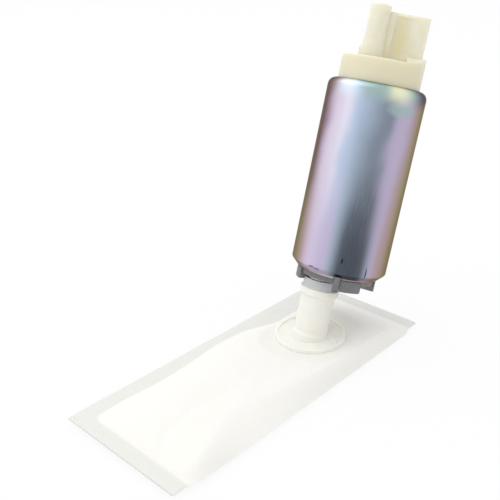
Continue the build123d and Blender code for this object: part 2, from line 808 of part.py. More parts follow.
def make_neck():
    """Flange, leaning neck, collar and throat in one moulding, bored for the inlet tube."""
    deep = ring_height / cos(radians(lean)) + flange_radius * sin(radians(lean))
    collar_high = neck_reach - collar_top
    leaning = disc(neck_radius, -deep, collar_high)
    collar = disc(collar_radius, collar_high - collar_height, collar_high)
    leaning += fillet(collar.edges().filter_by(GeomType.CIRCLE), collar_height * 0.2)
    leaning += disc(throat_radius, collar_high - rooted, neck_reach - throat_top)
    foot_radius = neck_radius + neck_foot
    leaning += turned([(0, -deep), (foot_radius, -deep), (foot_radius, 0), (neck_radius, neck_foot * 1.5),
                       (0, neck_foot * 1.5)])
    leaning = ring_place * leaning
    leaning &= disc(flange_radius * 3, flange_low, ring_height + neck_reach * 2)
    flange = disc(flange_radius, flange_low, ring_height - bead_height)
    bead = tube(flange_radius, flange_radius - bead_width, flange_low, ring_height)
    bead = fillet(bead.edges().filter_by(GeomType.CIRCLE).sort_by(Axis.Z)[-2:], bead_height * 0.45)
    half = flange_rib_wall / 2
    rib = Rot(0, 0, flange_rib_turn) * block(-rooted, flange_rib_length, -half, half, flange_low, ring_height)
    place = radians(flange_rib_place)
    rib = Pos(neck_radius * cos(place), neck_radius * sin(place)) * rib
    plug = disc(neck_radius, under_low, flange_low + rooted)
    under = disc(neck_radius + under_flange_margin, under_low, flange_low - cloth_wall)
    bore = ring_place * disc(neck_bore, -deep, neck_reach)
    return leaning + flange + bead + rib + plug + under - bore


def make_lock_ring():
    """The push-on ring on the inlet tube: a flat ring with teeth bent round its bore."""
    low = -throat_top + ring_gap
    ring = tube(ring_radius, inlet_radius + fit_gap, low, low + ring_wall, inlet_x, inlet_y)
    half = ring_slit / 2
    slot = block(0, inlet_radius + ring_slit_depth, -half, half, low - overcut, low + overcut)
    for count in range(ring_teeth):
        ring -= Pos(inlet_x, inlet_y, 0) * Rot(0, 0, 360 / ring_teeth * count) * slot
    return ring


def pouch_section(x, swell, sunk, inset=0):
    """The pouch's outline across at x.

    swell is 0 in the flat weld and 1 in the full pillow, and sunk the same for the underside.
    inset is the cloth's thickness for the hollow inside.
    """
    back = pouch_shift + pouch_width / 2
    fore = pouch_shift - pouch_width / 2
    root = back - side_weld
    high = weld_height + weld_wall / 2
    low = weld_height - weld_wall / 2
    over = [
        (root - back_slope[0], crown - back_slope[1]), (root - back_shoulder[0], crown - back_shoulder[1]),
        (pouch_shift + crown_half, crown), (pouch_shift - crown_half, crown),
        (fore + fold_shoulder[0], crown - fold_shoulder[1]), (fore + fold_slope[0], crown - fold_slope[1]),
    ]
    under = [(fore + fold_foot[0], fold_foot[1]), (fore + ground_edge, 0), (root - ground_edge, 0)]
    points = [(x, root, low), (x, back, low), (x, back, high), (x, root, high)]
    if inset:
        seam = root - 2 * inset
        points = [(x, seam, weld_height - inset / 4), (x, seam, weld_height + inset / 2)]
    points += [(x, y, high + (z - high) * swell - inset) for y, z in over]
    nose_height = weld_height + (crown / 2 - weld_height) * swell
    points.append((x, fore - fold_bulge * swell + 2 * inset, nose_height))
    points += [(x, y, low + (z - low) * sunk + inset) for y, z in under]
    return make_face(Polyline(*points, close=True))


def make_pouch():
    """The cloth pouch: flat welds at both ends and the back, a fold at the front, hollow inside."""
    far = pouch_short_end - pouch_length
    steps = [(0, 0, 0), (end_weld, 0, 0), (end_weld + ground_reach, ground_swell, 1),
             (end_weld + pouch_rise * first_rise, first_swell, 1), (end_weld + pouch_rise, 1, 1)]
    stations = [(far + reach, swell, sunk) for reach, swell, sunk in steps]
    stations += [(pouch_short_end - reach, swell, sunk) for reach, swell, sunk in reversed(steps)]
    hollow = [station for station in stations if station[1] >= first_swell]
    body = loft([pouch_section(*station) for station in stations], ruled=True)
    body -= loft([pouch_section(*station, cloth_wall) for station in hollow], ruled=True)
    body -= disc(flange_radius + fit_gap, flange_low, crown + overcut)
    body -= disc(neck_radius + fit_gap, under_low - overcut, flange_low + overcut)
    return body


def make_spacer():
    """The moulded grid that keeps the pouch's two faces apart."""
    length = pouch_length - 2 * end_weld - 2 * pouch_rise
    width = pouch_width - side_weld - 2 * spacer_margin
    pitch_x = (length - spacer_bar) / spacer_columns
    pitch_y = (width - spacer_bar) / spacer_rows
    windows = GridLocations(pitch_x, pitch_y, spacer_columns, spacer_rows) * Rectangle(
        pitch_x - spacer_bar, pitch_y - spacer_bar)
    sheet = Rectangle(length, width) - windows
    grid = extrude(sheet, spacer_wall)
    middle = pouch_short_end - pouch_length / 2
    grid = Pos(middle, pouch_shift + spacer_shift, cloth_wall) * grid
    return grid - disc(neck_radius + under_flange_margin + fit_gap, under_low - fit_gap, crown)


def parts_of_the_pump():
    """Every piece drawn in the pump frame, by name."""
    left = magnet_turn
    first, second = blade_places()
    ball_top = plunger_low + ball_height + ball_gap + ball_radius
    check_spring = coil_spring(check_spring_radius, check_spring_length, spring_turns, nipple_x, nipple_y,
                               plunger_low + plunger_height)
    relief_spring = coil_spring(relief_spring_radius, relief_spring_length, spring_turns,
                                relief_x, relief_y, ball_top)
    return {
        "case": make_case(),
        "pump_cover": make_pump_cover(),
        "pump_housing": make_pump_housing(),
        "impeller": make_impeller(),
        "thrust_pad": disc(thrust_radius, thrust_floor, thrust_floor + thrust_height),
        "lower_bush": bush(boss_top - bush_length),
        "upper_bush": bush(upper_bush_low),
        "shaft": make_shaft(),
        "armature_core": make_core(),
        "armature_winding": make_winding(),
        "commutator": make_commutator(),
        "magnet_left": make_magnet(left),
        "magnet_right": make_magnet(left + 180),
        "magnet_clip_front": make_clip(left + 90),
        "magnet_clip_rear": make_clip(left - 90),
        "outlet_cover": make_outlet_cover(),
        "case_seal": make_seal(),
        "brush_positive": make_brush(1),
        "brush_negative": make_brush(-1),
        "brush_spring_positive": make_brush_spring(1),
        "brush_spring_negative": make_brush_spring(-1),
        "choke_positive": make_choke(1),
        "choke_negative": make_choke(-1),
        "terminal_positive": make_terminal(first),
        "terminal_negative": make_terminal(second),
        "check_seat": make_seat(nipple_x, nipple_y, valve_bore),
        "check_plunger": make_plunger(),
        "check_spring": Rot(0, 0, cover_turn) * check_spring,
        "relief_seat": make_seat(relief_x, relief_y, relief_bore),
        "relief_ball": make_relief_ball(),
        "relief_spring": Rot(0, 0, cover_turn) * relief_spring,
        "lock_ring": make_lock_ring(),
    }


def parts_of_the_strainer():
    """Every piece drawn in the row frame, by name."""
    return {
        "strainer_neck": make_neck(),
        "filter_pouch": make_pouch(),
        "strainer_spacer": make_spacer(),
    }


os.makedirs("parts", exist_ok=True)
for name, piece in parts_of_the_pump().items():
    export_step(pump_place * piece, f"parts/{name}.step")
for name, piece in parts_of_the_strainer().items():
    export_step(piece, f"parts/{name}.step")
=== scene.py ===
"""The looks of an electric fuel pump with its pouch strainer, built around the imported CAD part.

The part's own frame has +Z along the pouch's normal and X along the pouch, and the pump leans towards +X.
Sizes are in millimetres, apart from the stage's, which are in metres as the scene is.
"""
import json
import logging
from dataclasses import dataclass, field
from enum import Enum
from math import cos, exp, pi, radians, sin

import bmesh
import bpy
from mathutils import Euler, Matrix, Vector, noise

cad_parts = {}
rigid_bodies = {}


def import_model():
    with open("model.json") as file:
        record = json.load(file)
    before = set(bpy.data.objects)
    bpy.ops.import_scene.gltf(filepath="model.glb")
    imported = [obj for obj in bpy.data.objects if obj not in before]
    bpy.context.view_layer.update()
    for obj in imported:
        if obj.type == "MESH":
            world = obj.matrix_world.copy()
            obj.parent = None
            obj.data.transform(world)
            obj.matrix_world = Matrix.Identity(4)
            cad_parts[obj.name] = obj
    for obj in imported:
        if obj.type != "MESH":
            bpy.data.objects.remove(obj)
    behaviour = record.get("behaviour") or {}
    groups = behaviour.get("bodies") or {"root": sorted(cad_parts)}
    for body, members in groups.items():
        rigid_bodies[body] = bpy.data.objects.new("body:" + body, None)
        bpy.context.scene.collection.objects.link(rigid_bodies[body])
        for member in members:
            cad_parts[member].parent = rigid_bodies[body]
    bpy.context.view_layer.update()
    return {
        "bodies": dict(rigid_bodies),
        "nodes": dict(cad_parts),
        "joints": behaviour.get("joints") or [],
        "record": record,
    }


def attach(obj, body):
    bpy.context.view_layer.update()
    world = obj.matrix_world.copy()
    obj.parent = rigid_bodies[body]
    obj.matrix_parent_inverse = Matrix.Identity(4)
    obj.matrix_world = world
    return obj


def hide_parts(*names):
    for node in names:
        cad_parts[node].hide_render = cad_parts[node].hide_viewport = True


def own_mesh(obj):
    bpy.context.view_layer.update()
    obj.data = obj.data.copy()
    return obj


logging.basicConfig(level=logging.INFO, format="%(name)s: %(message)s")
log = logging.getLogger("fuel_pump")

MM = 0.001  # a millimetre in metres
Colour = tuple[float, float, float]
Socket = bpy.types.NodeSocket
Material = bpy.types.Material
Tree = bpy.types.NodeTree


def tint(red: int, green: int, blue: int) -> Colour:
    """Turn a colour as it is seen on a screen into the linear one that shaders use.

    Args:
        red: red from 0 to 255.
        green: green from 0 to 255.
        blue: blue from 0 to 255.

    Returns:
        The three linear values from 0 to 1.
    """
    def linear(value: int) -> float:
        """Turn one value from 0 to 255 into a linear one."""
        share = value / 255
        return share / 12.92 if share <= 0.04045 else ((share + 0.055) / 1.055) ** 2.4
    return linear(red), linear(green), linear(blue)


def smooth(low: float, high: float, value: float) -> float:
    """Ease from 0 at low to 1 at high.

    Args:
        low: the value at which the result leaves 0.
        high: the value at which the result reaches 1.
        value: the value to place between them.

    Returns:
        A share from 0 to 1.
    """
    share = min(max((value - low) / (high - low), 0.0), 1.0)
    return share * share * (3 - 2 * share)


def rounded(value: float, power: float = 0.5) -> float:
    """Rise from 0 to 1 as a round edge does, steeply at first.

    Args:
        value: how far in from the edge, where 1 is the end of the rounding.
        power: 0.5 for a round edge, more for a flatter one.

    Returns:
        A share from 0 to 1.
    """
    share = min(max(value, 0.0), 1.0)
    return (1 - (1 - share) ** 2) ** power


@dataclass
class PumpPlace:
    """Where the pump stands in the part's frame, in millimetres and degrees."""

    inlet_x: float = -6.1
    inlet_y: float = 2.25
    ring_height: float = 5.8
    neck_reach: float = 26.5
    lean: float = 17.0
    front: float = -147.3  # the side that the photograph looks at, round the can

    def matrix(self) -> Matrix:
        """Give the placement of the pump's own frame.

        Returns:
            The matrix from the pump's frame to the part's frame, both in metres.
        """
        lift = Matrix.Translation((0, 0, self.ring_height * MM))
        turn = Matrix.Rotation(radians(self.lean), 4, "Y")
        shift = Matrix.Translation((-self.inlet_x * MM, -self.inlet_y * MM, self.neck_reach * MM))
        return lift @ turn @ shift


@dataclass(frozen=True)
class Crest:
    """A soft rise along the pouch: its middle and its reach in millimetres, and its height."""

    middle: float
    reach: float
    height: float

    def at(self, x: float) -> float:
        """Give the rise at x, both in millimetres."""
        return self.height * exp(-((x - self.middle) / self.reach) ** 2)


@dataclass(frozen=True)
class Crease:
    """A crease in the cloth, in millimetres and degrees."""

    place: float   # its middle along the pouch, from the long end
    across: float  # its middle across, from the pouch's own middle
    turn: float    # its direction from the pouch's length
    length: float  # half its length
    width: float   # half its width
    height: float  # below 0 for a furrow


@dataclass
class PouchSizes:
    """Sizes of the cloth pouch, in millimetres."""

    short_end: float = 39.9      # from the flange's centre along +X
    length: float = 136.0
    width: float = 55.0
    shift: float = 2.3           # the pouch's middle across, from the flange's centre
    weld_height: float = 2.0
    weld_wall: float = 0.9
    end_weld: float = 5.6
    side_weld: float = 5.8
    crown: float = 6.7
    nose_height: float = 1.7
    fold_bulge: float = 1.3
    bulge_full: float = 0.5      # how far the pillow is open where that bulge is full
    rise: float = 24.0           # over which the pillow swells from its end welds
    rise_power: float = 2.6
    back_rise: float = 18.0      # over which its top swells from the back weld
    back_power: float = 1.9
    fold_power: float = 1.5      # how round its top is over the fold
    under_fall: float = 8.0      # over which its underside reaches the ground from the back weld
    under_round: float = 6.5     # the same from the fold
    under_power: float = 0.55
    edge_round: float = 1.5      # rounding of the flat edge at the fold's end
    parting: float = 0.12        # how far the pillow is open where the layers have parted
    slope_least: float = 4.6     # width of the slope over the fold
    slope_before: Crest = Crest(-60.0, 14.0, 8.4)  # what widens the slope, before its middle and after it
    slope_after: Crest = Crest(-60.0, 30.0, 8.4)
    corner_cut: float = 3.4      # how far the back weld's line comes in at its corners
    corner_reach: float = 4.2
    flange_pull: float = 4.8     # how far it comes in beside the flange
    pull_start: tuple[float, float] = (-16.0, 5.0)
    pull_end: tuple[float, float] = (26.0, 36.0)
    wave_mean: float = -0.6
    wave_height: float = 0.3
    wave_length: float = 6.5
    crests: tuple[Crest, ...] = (Crest(-24.0, 16.0, 1.4), Crest(-64.0, 12.0, -1.0))
    curl: float = 0.25           # of the back weld's edge
    curl_length: float = 14.0
    curl_reach: float = 9.0
    curl_level: float = 5.0      # where the curl's noise is read
    # The cloth's unevenness: its height, its size along and across, and where its noise is read.
    uneven: tuple[tuple[float, ...], ...] = ((0.42, 23.0, 15.0, 0.3), (0.2, 9.0, 8.0, 2.1))
    creases: tuple[Crease, ...] = (
        Crease(10.0, -11.0, 40.0, 13.0, 1.9, -0.8), Crease(24.0, -6.0, 10.0, 10.0, 2.6, -0.6),
        Crease(30.0, 14.0, 24.0, 11.0, 3.0, -0.4), Crease(52.0, -10.0, 20.0, 12.0, 2.6, 0.35),
        Crease(66.0, 8.0, -18.0, 13.0, 3.0, -0.3), Crease(75.1, -13.0, 12.0, 8.0, 2.2, -0.55),
        Crease(77.1, 12.0, -30.0, 9.0, 2.4, -0.4), Crease(120.1, -6.0, 60.0, 9.0, 2.2, -0.4),
        Crease(124.1, 10.0, -55.0, 8.0, 2.0, -0.35),
    )
    flange_radius: float = 14.3
    flange_low: float = 3.9
    flat_ring: tuple[float, float] = (0.5, 7.0)   # outside the flange, where creases start
    seat_ring: tuple[float, float] = (-3.5, 14.0)  # from the flange's edge, where the cloth rises beside it
    seat_gap: float = 0.1
    seat_lift: float = 0.8
    steps_long: int = 200
    steps_over: int = 84
    even_steps: float = 0.55     # how even the steps across are, rather than closer at the edges
    weld_edge: tuple[float, float] = (-0.5, 0.8)  # where the cloth's pressed look ends
    sharp: float = 50.0          # degrees between faces that make a sharp edge

    @property
    def far(self) -> float:
        """The long end's place along X."""
        return self.short_end - self.length

    @property
    def back(self) -> float:
        """The welded side's place along Y."""
        return self.shift + self.width / 2

    @property
    def fore(self) -> float:
        """The folded side's place along Y."""
        return self.shift - self.width / 2


@dataclass(frozen=True)
class Lamp:
    """A square lamp: its name, its place in metres, its power in watts and its side in metres."""

    name: str
    place: tuple[float, float, float]
    power: float
    size: float


@dataclass
class StageSizes:
    """The floor, the lamps and the world, in metres."""

    floor: float = 6.0
    floor_drop: float = 0.00005  # keeps the floor just below the pouch
    lamps: tuple[Lamp, ...] = (
        Lamp("top_light", (-0.3, 0.5, 1.3), 3.7, 1.6), Lamp("side_light", (-1.3, 0.35, 0.45), 0.6, 1.0),
    )
    aim: tuple[float, float, float] = (0.01, 0.0, 0.05)
    world_low: float = 0.24
    world_high: float = 1.16
    world_side: tuple[float, float, float] = (0.1, 0.2, 0.84)


@dataclass
class CameraSizes:
    """The photograph's camera: its directions, its place in metres and its lens in millimetres."""

    right: tuple[float, float, float] = (0.68534, -0.72809, -0.01416)
    up: tuple[float, float, float] = (0.31412, 0.27802, 0.90776)
    place: tuple[float, float, float] = (-0.199653, -0.157268, 0.15955)
    lens: float = 52.119
    sensor: float = 36.0
    nearest: float = 0.005


@dataclass(frozen=True)
class Finish:
    """What a surface is made of, as its shader shows it."""

    light: Colour            # the paler of its two mottled colours
    dark: Colour
    roughness: float
    metallic: float = 0.0
    grain: float = 1.0       # size of the mottling and bumps, in millimetres
    bump: float = 0.02       # depth of the bumps, in millimetres
    subsurface: float = 0.0  # how far light goes into it, in millimetres
    stretch: float = 1.0     # how much longer the grain is along the pump's axis
    depth: float = 0.35      # how much of the light goes into it, from 0 to 1


class Look(Enum):
    """The finishes of the pump's plain surfaces."""

    CASTING = Finish(tint(133, 133, 135), tint(108, 108, 110), 0.46, 0.6, 0.5, 0.014)
    CREAM = Finish(tint(240, 236, 216), tint(235, 229, 207), 0.36, 0.0, 2.4, 0.004, 3.2, 1.0, 0.8)
    WEB = Finish(tint(240, 236, 212), tint(236, 229, 203), 0.36, 0.0, 2.4, 0.004)
    WHITE = Finish(tint(248, 246, 238), tint(245, 243, 234), 0.34, 0.0, 3.0, 0.003, 1.6)
    BRIGHT = Finish(tint(205, 207, 210), tint(168, 171, 176), 0.25, 1.0, 0.5, 0.006, 0.0, 6.0)
    PHENOLIC = Finish(tint(96, 58, 34), tint(70, 41, 24), 0.42, 0.0, 0.8, 0.02)
    BRONZE = Finish(tint(176, 130, 78), tint(120, 84, 48), 0.5, 0.9, 0.3, 0.03)
    CORE = Finish(tint(120, 122, 126), tint(74, 76, 80), 0.45, 0.9, 0.5, 0.03, 0.0, 0.12)
    COPPER = Finish(tint(196, 110, 62), tint(140, 66, 34), 0.3, 1.0, 0.45, 0.09, 0.0, 5.0)
    FERRITE = Finish(tint(66, 66, 69), tint(42, 42, 45), 0.62, 0.1, 0.6, 0.04)
    SPRING = Finish(tint(190, 190, 188), tint(140, 140, 140), 0.28, 1.0, 0.4, 0.005)
    RUBBER = Finish(tint(38, 38, 38), tint(24, 24, 24), 0.55, 0.0, 0.8, 0.02)
    CARBON = Finish(tint(58, 56, 55), tint(36, 35, 34), 0.6, 0.3, 0.3, 0.03)
    TINNED = Finish(tint(214, 208, 190), tint(172, 164, 140), 0.3, 1.0, 0.6, 0.01)


SLOT_LOOKS = {
    "grey_casting": Look.CASTING, "cream_plastic": Look.CREAM, "white_plastic": Look.WHITE,
    "filter_cloth": Look.WHITE, "bright_steel": Look.BRIGHT, "phenolic": Look.PHENOLIC,
    "sintered_bronze": Look.BRONZE, "core_steel": Look.CORE, "copper": Look.COPPER,
    "ferrite": Look.FERRITE, "spring_steel": Look.SPRING, "black_rubber": Look.RUBBER,
    "carbon": Look.CARBON, "tinned_brass": Look.TINNED,
}


@dataclass(frozen=True)
class Spring:
    """A spring's node, the joint that shortens it, and by how much at most, in millimetres."""

    node: str
    joint: str
    travel: float


SPRINGS = (
    Spring("check_spring", "check_lift", 2.5), Spring("relief_spring", "relief_lift", 2.0),
    Spring("brush_spring_positive", "brush_positive_slide", 2.0),
    Spring("brush_spring_negative", "brush_negative_slide", 2.0),
)


class FilmAndReflection(Enum):
    """The colours painted on the can: its plating's film colours where the film is thinner or thicker, with
    painted reflections, highlights and dark reflections at the edges.
    """

    OLIVE = tint(162, 152, 122)
    PLUM = tint(138, 118, 126)
    TAUPE = tint(174, 154, 156)
    DUSK = tint(204, 188, 212)
    ROSE = tint(226, 212, 232)
    LILAC = tint(208, 198, 226)
    ICE = tint(232, 242, 255)
    PEARL = tint(216, 214, 230)
    HAZE = tint(174, 189, 212)
    BLUSH = tint(210, 190, 209)
    STRAW = tint(176, 167, 137)
    MIST = tint(190, 210, 232)
    STEEL = tint(156, 170, 188)
    PEWTER = tint(128, 138, 152)
    SLATE = tint(84, 89, 98)
    MAUVE = tint(186, 174, 202)
    TEAL = tint(160, 184, 182)
    CITRINE = tint(234, 237, 205)
    COPPER = tint(214, 172, 150)


@dataclass
class Wires:
    """Adds shader nodes to the tree of a material, of the world or of a node group, and joins them."""

    tree: Tree

    def feed(self, node: bpy.types.Node, inputs: dict) -> None:
        """Fill some of a node's inputs.

        Args:
            node: the node.
            inputs: a socket, a number, a vector or a colour, by the input's name or place.
        """
        for key, value in inputs.items():
            target = node.inputs[key]
            if isinstance(value, Socket):
                self.tree.links.new(value, target)
            elif target.type == "RGBA":
                target.default_value = (*value, 1)
            else:
                target.default_value = value

    def add(self, kind: str, inputs: dict, **settings: object) -> bpy.types.Node:
        """Add a node.

        Args:
            kind: its type, without the word ShaderNode.
            inputs: what its inputs get.
            settings: its other properties.

        Returns:
            The node.
        """
        node = self.tree.nodes.new("ShaderNode" + kind)
        for name, value in settings.items():
            setattr(node, name, value)
        self.feed(node, inputs)
        return node

    def group(self, tree: Tree, inputs: dict) -> bpy.types.NodeOutputs:
        """Add a node group with these inputs, and give its outputs."""
        return self.add("Group", inputs, node_tree=tree).outputs

    def math(self, operation: str, *values: Socket | float | tuple | Vector, kind: str = "Math") -> Socket:
        """Add a sum, a product or the like of numbers, or of vectors where kind is VectorMath."""
        return self.add(kind, dict(enumerate(values)), operation=operation).outputs[0]

    def remap(self, value: Socket, start: float, end: float, low: float = 0.0, high: float = 1.0,
              shape: str = "LINEAR") -> Socket:
        """Add a change from low, where the value is at start, to high, where it is at end."""
        inputs = {"Value": value, "From Min": start, "From Max": end, "To Min": low, "To Max": high}
        return self.add("MapRange", inputs, interpolation_type=shape).outputs[0]

    def step(self, value: Socket, span: tuple[float, float]) -> Socket:
        """Add a soft step of a value, from 0 at the span's start to 1 at its end."""
        return self.remap(value, *span, shape="SMOOTHSTEP")

    def noise(self, point: Socket, scale: Socket | float, detail: float, roughness: float = 0.5) -> Socket:
        """Add noise from 0 to 1, with its scale in lumps in a millimetre and its finer layers."""
        return self.add("TexNoise", {
            "Vector": point, "Scale": scale, "Detail": detail, "Roughness": roughness}).outputs["Fac"]

    def mix(self, first: Socket | Colour | float, second: Socket | Colour | float, share: Socket | float,
            kind: str = "RGBA", mode: str = "MIX") -> Socket:
        """Add a mix of two colours, or of two values where kind is FLOAT: a share of 0 gives the first."""
        inputs = {"Factor": share, "A": first, "B": second}
        return self.add("Mix", inputs, data_type=kind, blend_type=mode).outputs["Result"]

    def bump(self, height: Socket, distance: Socket | float) -> Socket:
        """Add bumps of a height from 0 to 1, where 1 is this distance in metres."""
        return self.add("Bump", {"Height": height, "Distance": distance}).outputs[0]

    def turned(self, vector: Socket, degrees: float, scale: float = 1.0) -> Socket:
        """Add a turn of a vector about its Z, in degrees, and a scale."""
        return self.add("Mapping", {
            "Vector": vector, "Rotation": Euler((0, 0, radians(degrees))), "Scale": (scale, scale, scale),
        }).outputs[0]

    def looked_at(self) -> Socket:
        """Add a test for rays that look at a surface, through the camera or in a shiny or clear one.

        Returns:
            The test's socket, 1 for such rays and 0 for rays that light the scene.
        """
        ray = self.add("LightPath", {}).outputs
        seen = self.math("MAXIMUM", ray["Is Camera Ray"], ray["Is Glossy Ray"])
        return self.math("MAXIMUM", seen, ray["Is Transmission Ray"])


class Effects:
    """Node groups that several materials share."""

    BROAD = 0.18               # lumps of the broad mottling in a millimetre
    SPREAD = (0.35, 0.65)      # the noise that gives the light and the dark colour
    ROUGH_RANGE = (0.85, 1.15)  # how far the mottling changes the roughness
    WOBBLE = 0.9               # lumps in a millimetre of the wobble in a mark's edge
    WOBBLE_TURN = 0.002        # how far it moves the edge round the can
    MARK_EDGE = (1.3, 0.4)     # the squared distance where a mark starts and where it is full

    def __init__(self, place: PumpPlace) -> None:
        """Make the groups.

        Args:
            place: where the pump stands.
        """
        self.axis = self._axis_group(place)
        self.mottle = self._mottle_group()
        self.mark = self._mark_group()

    @staticmethod
    def _group(name: str, inputs: dict[str, str], outputs: dict[str, str]) -> Tree:
        """Start a shader node group.

        Args:
            name: its name.
            inputs: by name, what each input takes: Float, Vector or Color.
            outputs: the same for the outputs.

        Returns:
            The group, with its input and output nodes.
        """
        tree = bpy.data.node_groups.new(name, "ShaderNodeTree")
        for way, sockets in (("INPUT", inputs), ("OUTPUT", outputs)):
            for label, kind in sockets.items():
                tree.interface.new_socket(label, in_out=way, socket_type="NodeSocket" + kind)
        tree.nodes.new("NodeGroupInput")
        tree.nodes.new("NodeGroupOutput")
        return tree

    def _axis_group(self, place: PumpPlace) -> Tree:
        """Make the group that gives a point's place round and along the pump's axis.

        Args:
            place: where the pump stands.

        Returns:
            A group with the outputs Point and Height, in millimetres, and Turn, from -0.5 to 0.5 round
            the can, with 0 at its front.
        """
        tree = self._group("pump_axis", {}, {"Point": "Vector", "Height": "Float", "Turn": "Float"})
        wires = Wires(tree)
        matrix = place.matrix()
        spot = wires.add("TexCoord", {}).outputs["Object"]
        moved = wires.math("SUBTRACT", spot, matrix.translation, kind="VectorMath")
        turn = matrix.inverted().to_euler()
        upright = wires.add("Mapping", {"Vector": moved, "Rotation": turn}).outputs[0]
        faced = wires.turned(upright, -place.front, scale=1 / MM)
        parts = wires.add("SeparateXYZ", {0: faced}).outputs
        angle = wires.math("ARCTAN2", parts["Y"], parts["X"])
        wires.feed(tree.nodes["Group Output"], {
            "Point": faced, "Height": parts["Z"], "Turn": wires.math("DIVIDE", angle, 2 * pi)})
        return tree

    def _mottle_group(self) -> Tree:
        """Make the group that mottles a surface's colour and roughness and gives it fine bumps.

        Returns:
            A group with the inputs Light, Dark, Roughness, Grain, Stretch and Bump and the outputs Colour,
            Roughness and Normal.
        """
        tree = self._group("mottle", {
            "Light": "Color", "Dark": "Color", "Roughness": "Float",
            "Grain": "Float", "Stretch": "Float", "Bump": "Float",
        }, {"Colour": "Color", "Roughness": "Float", "Normal": "Vector"})
        wires = Wires(tree)
        given = tree.nodes["Group Input"].outputs
        along = wires.math("DIVIDE", 1.0, given["Stretch"])
        pull = wires.add("CombineXYZ", {"X": 1.0, "Y": 1.0, "Z": along}).outputs[0]
        point = wires.math("MULTIPLY", wires.group(self.axis, {})["Point"], pull, kind="VectorMath")
        broad = wires.noise(point, self.BROAD, detail=4.0)
        fine = wires.noise(point, wires.math("DIVIDE", 1.0, given["Grain"]), detail=3.0)
        spread = wires.remap(wires.mix(broad, fine, 0.5, kind="FLOAT"), *self.SPREAD)
        rough = wires.math("MULTIPLY", given["Roughness"], wires.remap(fine, 0.0, 1.0, *self.ROUGH_RANGE))
        wires.feed(tree.nodes["Group Output"], {
            "Colour": wires.mix(given["Light"], given["Dark"], spread), "Roughness": rough,
            "Normal": wires.bump(fine, wires.math("MULTIPLY", given["Bump"], MM))})
        return tree

    def _mark_group(self) -> Tree:
        """Make the group that masks a soft-edged mark.

        Returns:
            A group with the inputs Turn, Height, Wide and High, in the units of the axis group, and the
            output Mask, from 0 to 1.
        """
        tree = self._group("mark", {
            "Turn": "Float", "Height": "Float", "Wide": "Float", "High": "Float"}, {"Mask": "Float"})
        wires = Wires(tree)
        given = tree.nodes["Group Input"].outputs
        axis = wires.group(self.axis, {})
        wobble = wires.noise(axis["Point"], self.WOBBLE, detail=2.0)
        bent = wires.math("MULTIPLY_ADD", wobble, self.WOBBLE_TURN, axis["Turn"])
        squares = []
        for place, middle, half in ((bent, "Turn", "Wide"), (axis["Height"], "Height", "High")):
            away = wires.math("SUBTRACT", place, given[middle])
            squares.append(wires.math("POWER", wires.math("DIVIDE", away, given[half]), 2.0))
        mask = wires.remap(wires.math("ADD", *squares), *self.MARK_EDGE)
        wires.feed(tree.nodes["Group Output"], {"Mask": mask})
        return tree


@dataclass(frozen=True)
class Mark:
    """A soft-edged mark: its place round the pump, its height in millimetres, and half its size in both."""

    turn: float
    height: float
    wide: float
    high: float


@dataclass(frozen=True)
class Plating:
    """Where the can's plating changes, in millimetres along the can and in turns round it."""

    length: float = 74.0
    upper_film: tuple[float, float] = (6.0, 52.0)  # from the lower colours to the upper ones
    # Where the shoulder's painted highlight fades in.
    shoulder: tuple[float, float] = (66.0, 72.0)
    # Where the painted highlight line along the lip fades in.
    lip: tuple[float, float] = (0.95, 0.35)
    drift: float = 0.018       # how far the upper colours lean round the can
    sway: float = 0.012        # how far they waver
    cloud: float = 0.05        # lumps in a millimetre of that wavering
    cloud_range: tuple[float, float] = (0.3, 0.7)
    streaks: float = 2.6       # streaks in a millimetre
    streak_pull: float = 0.06  # how much they are drawn out along the can
    # A dark band low on the can's front: scuffs with a painted dark reflection.
    scuff_and_reflection_lean: float = 0.02
    scuff_and_reflection_band: tuple[tuple[float, float], ...] = ((0.475, 0.0), (0.515, 0.7), (0.56, 0.85), (0.585, 0.0))
    scuff_and_reflection_fade: tuple[float, float] = (46.0, 10.0)
    scuff_and_reflection_range: tuple[float, float] = (0.36, 0.6)
    scuff_and_reflection_colour: Colour = tint(70, 78, 88)
    mark_colour: Colour = tint(46, 48, 56)
    marks: tuple[Mark, ...] = (
        Mark(-0.088, 2.8, 0.0109, 0.26), Mark(-0.068, 2.4, 0.0117, 0.22), Mark(0.0965, 4.2, 0.0022, 2.6),
        Mark(0.0097, 7.8, 0.0034, 1.1),
    )
    patch: Mark = Mark(0.095, 66.0, 0.052, 2.8)  # teal film with a painted glow, below the shoulder's painted highlight
    patch_strength: float = 0.75
    roughness: tuple[float, float] = (0.24, 0.4)
    bump: float = 0.006
    edge_tint: Colour = (0.42, 0.37, 0.30)       # of reflections at a glancing angle


@dataclass(frozen=True)
class Moulding:
    """A plastic moulding whose tone changes, in millimetres from the can's lower edge."""

    look: Look                 # of most of it
    colour: Colour             # its other colour
    span: tuple[float, float]  # where that colour starts and where it is full
    recess_shade: Mark | None = None   # where shade is painted in a recess
    recess_shade_colour: Colour = tint(234, 219, 168)
    recess_shade_strength: float = 0.6


# The cover's disc is darker than its block and nipple, and the socket's recessed front wall gets painted
# shade, darker and yellower.
COVER = Moulding(Look.CREAM, tint(231, 225, 198), (84.4, 83.2), Mark(0.104, 92.3, 0.056, 8.2))
# The neck is greyer above its collar: painted shade under the casting.
NECK = Moulding(Look.WHITE, tint(205, 206, 208), (-7.6, -6.6))


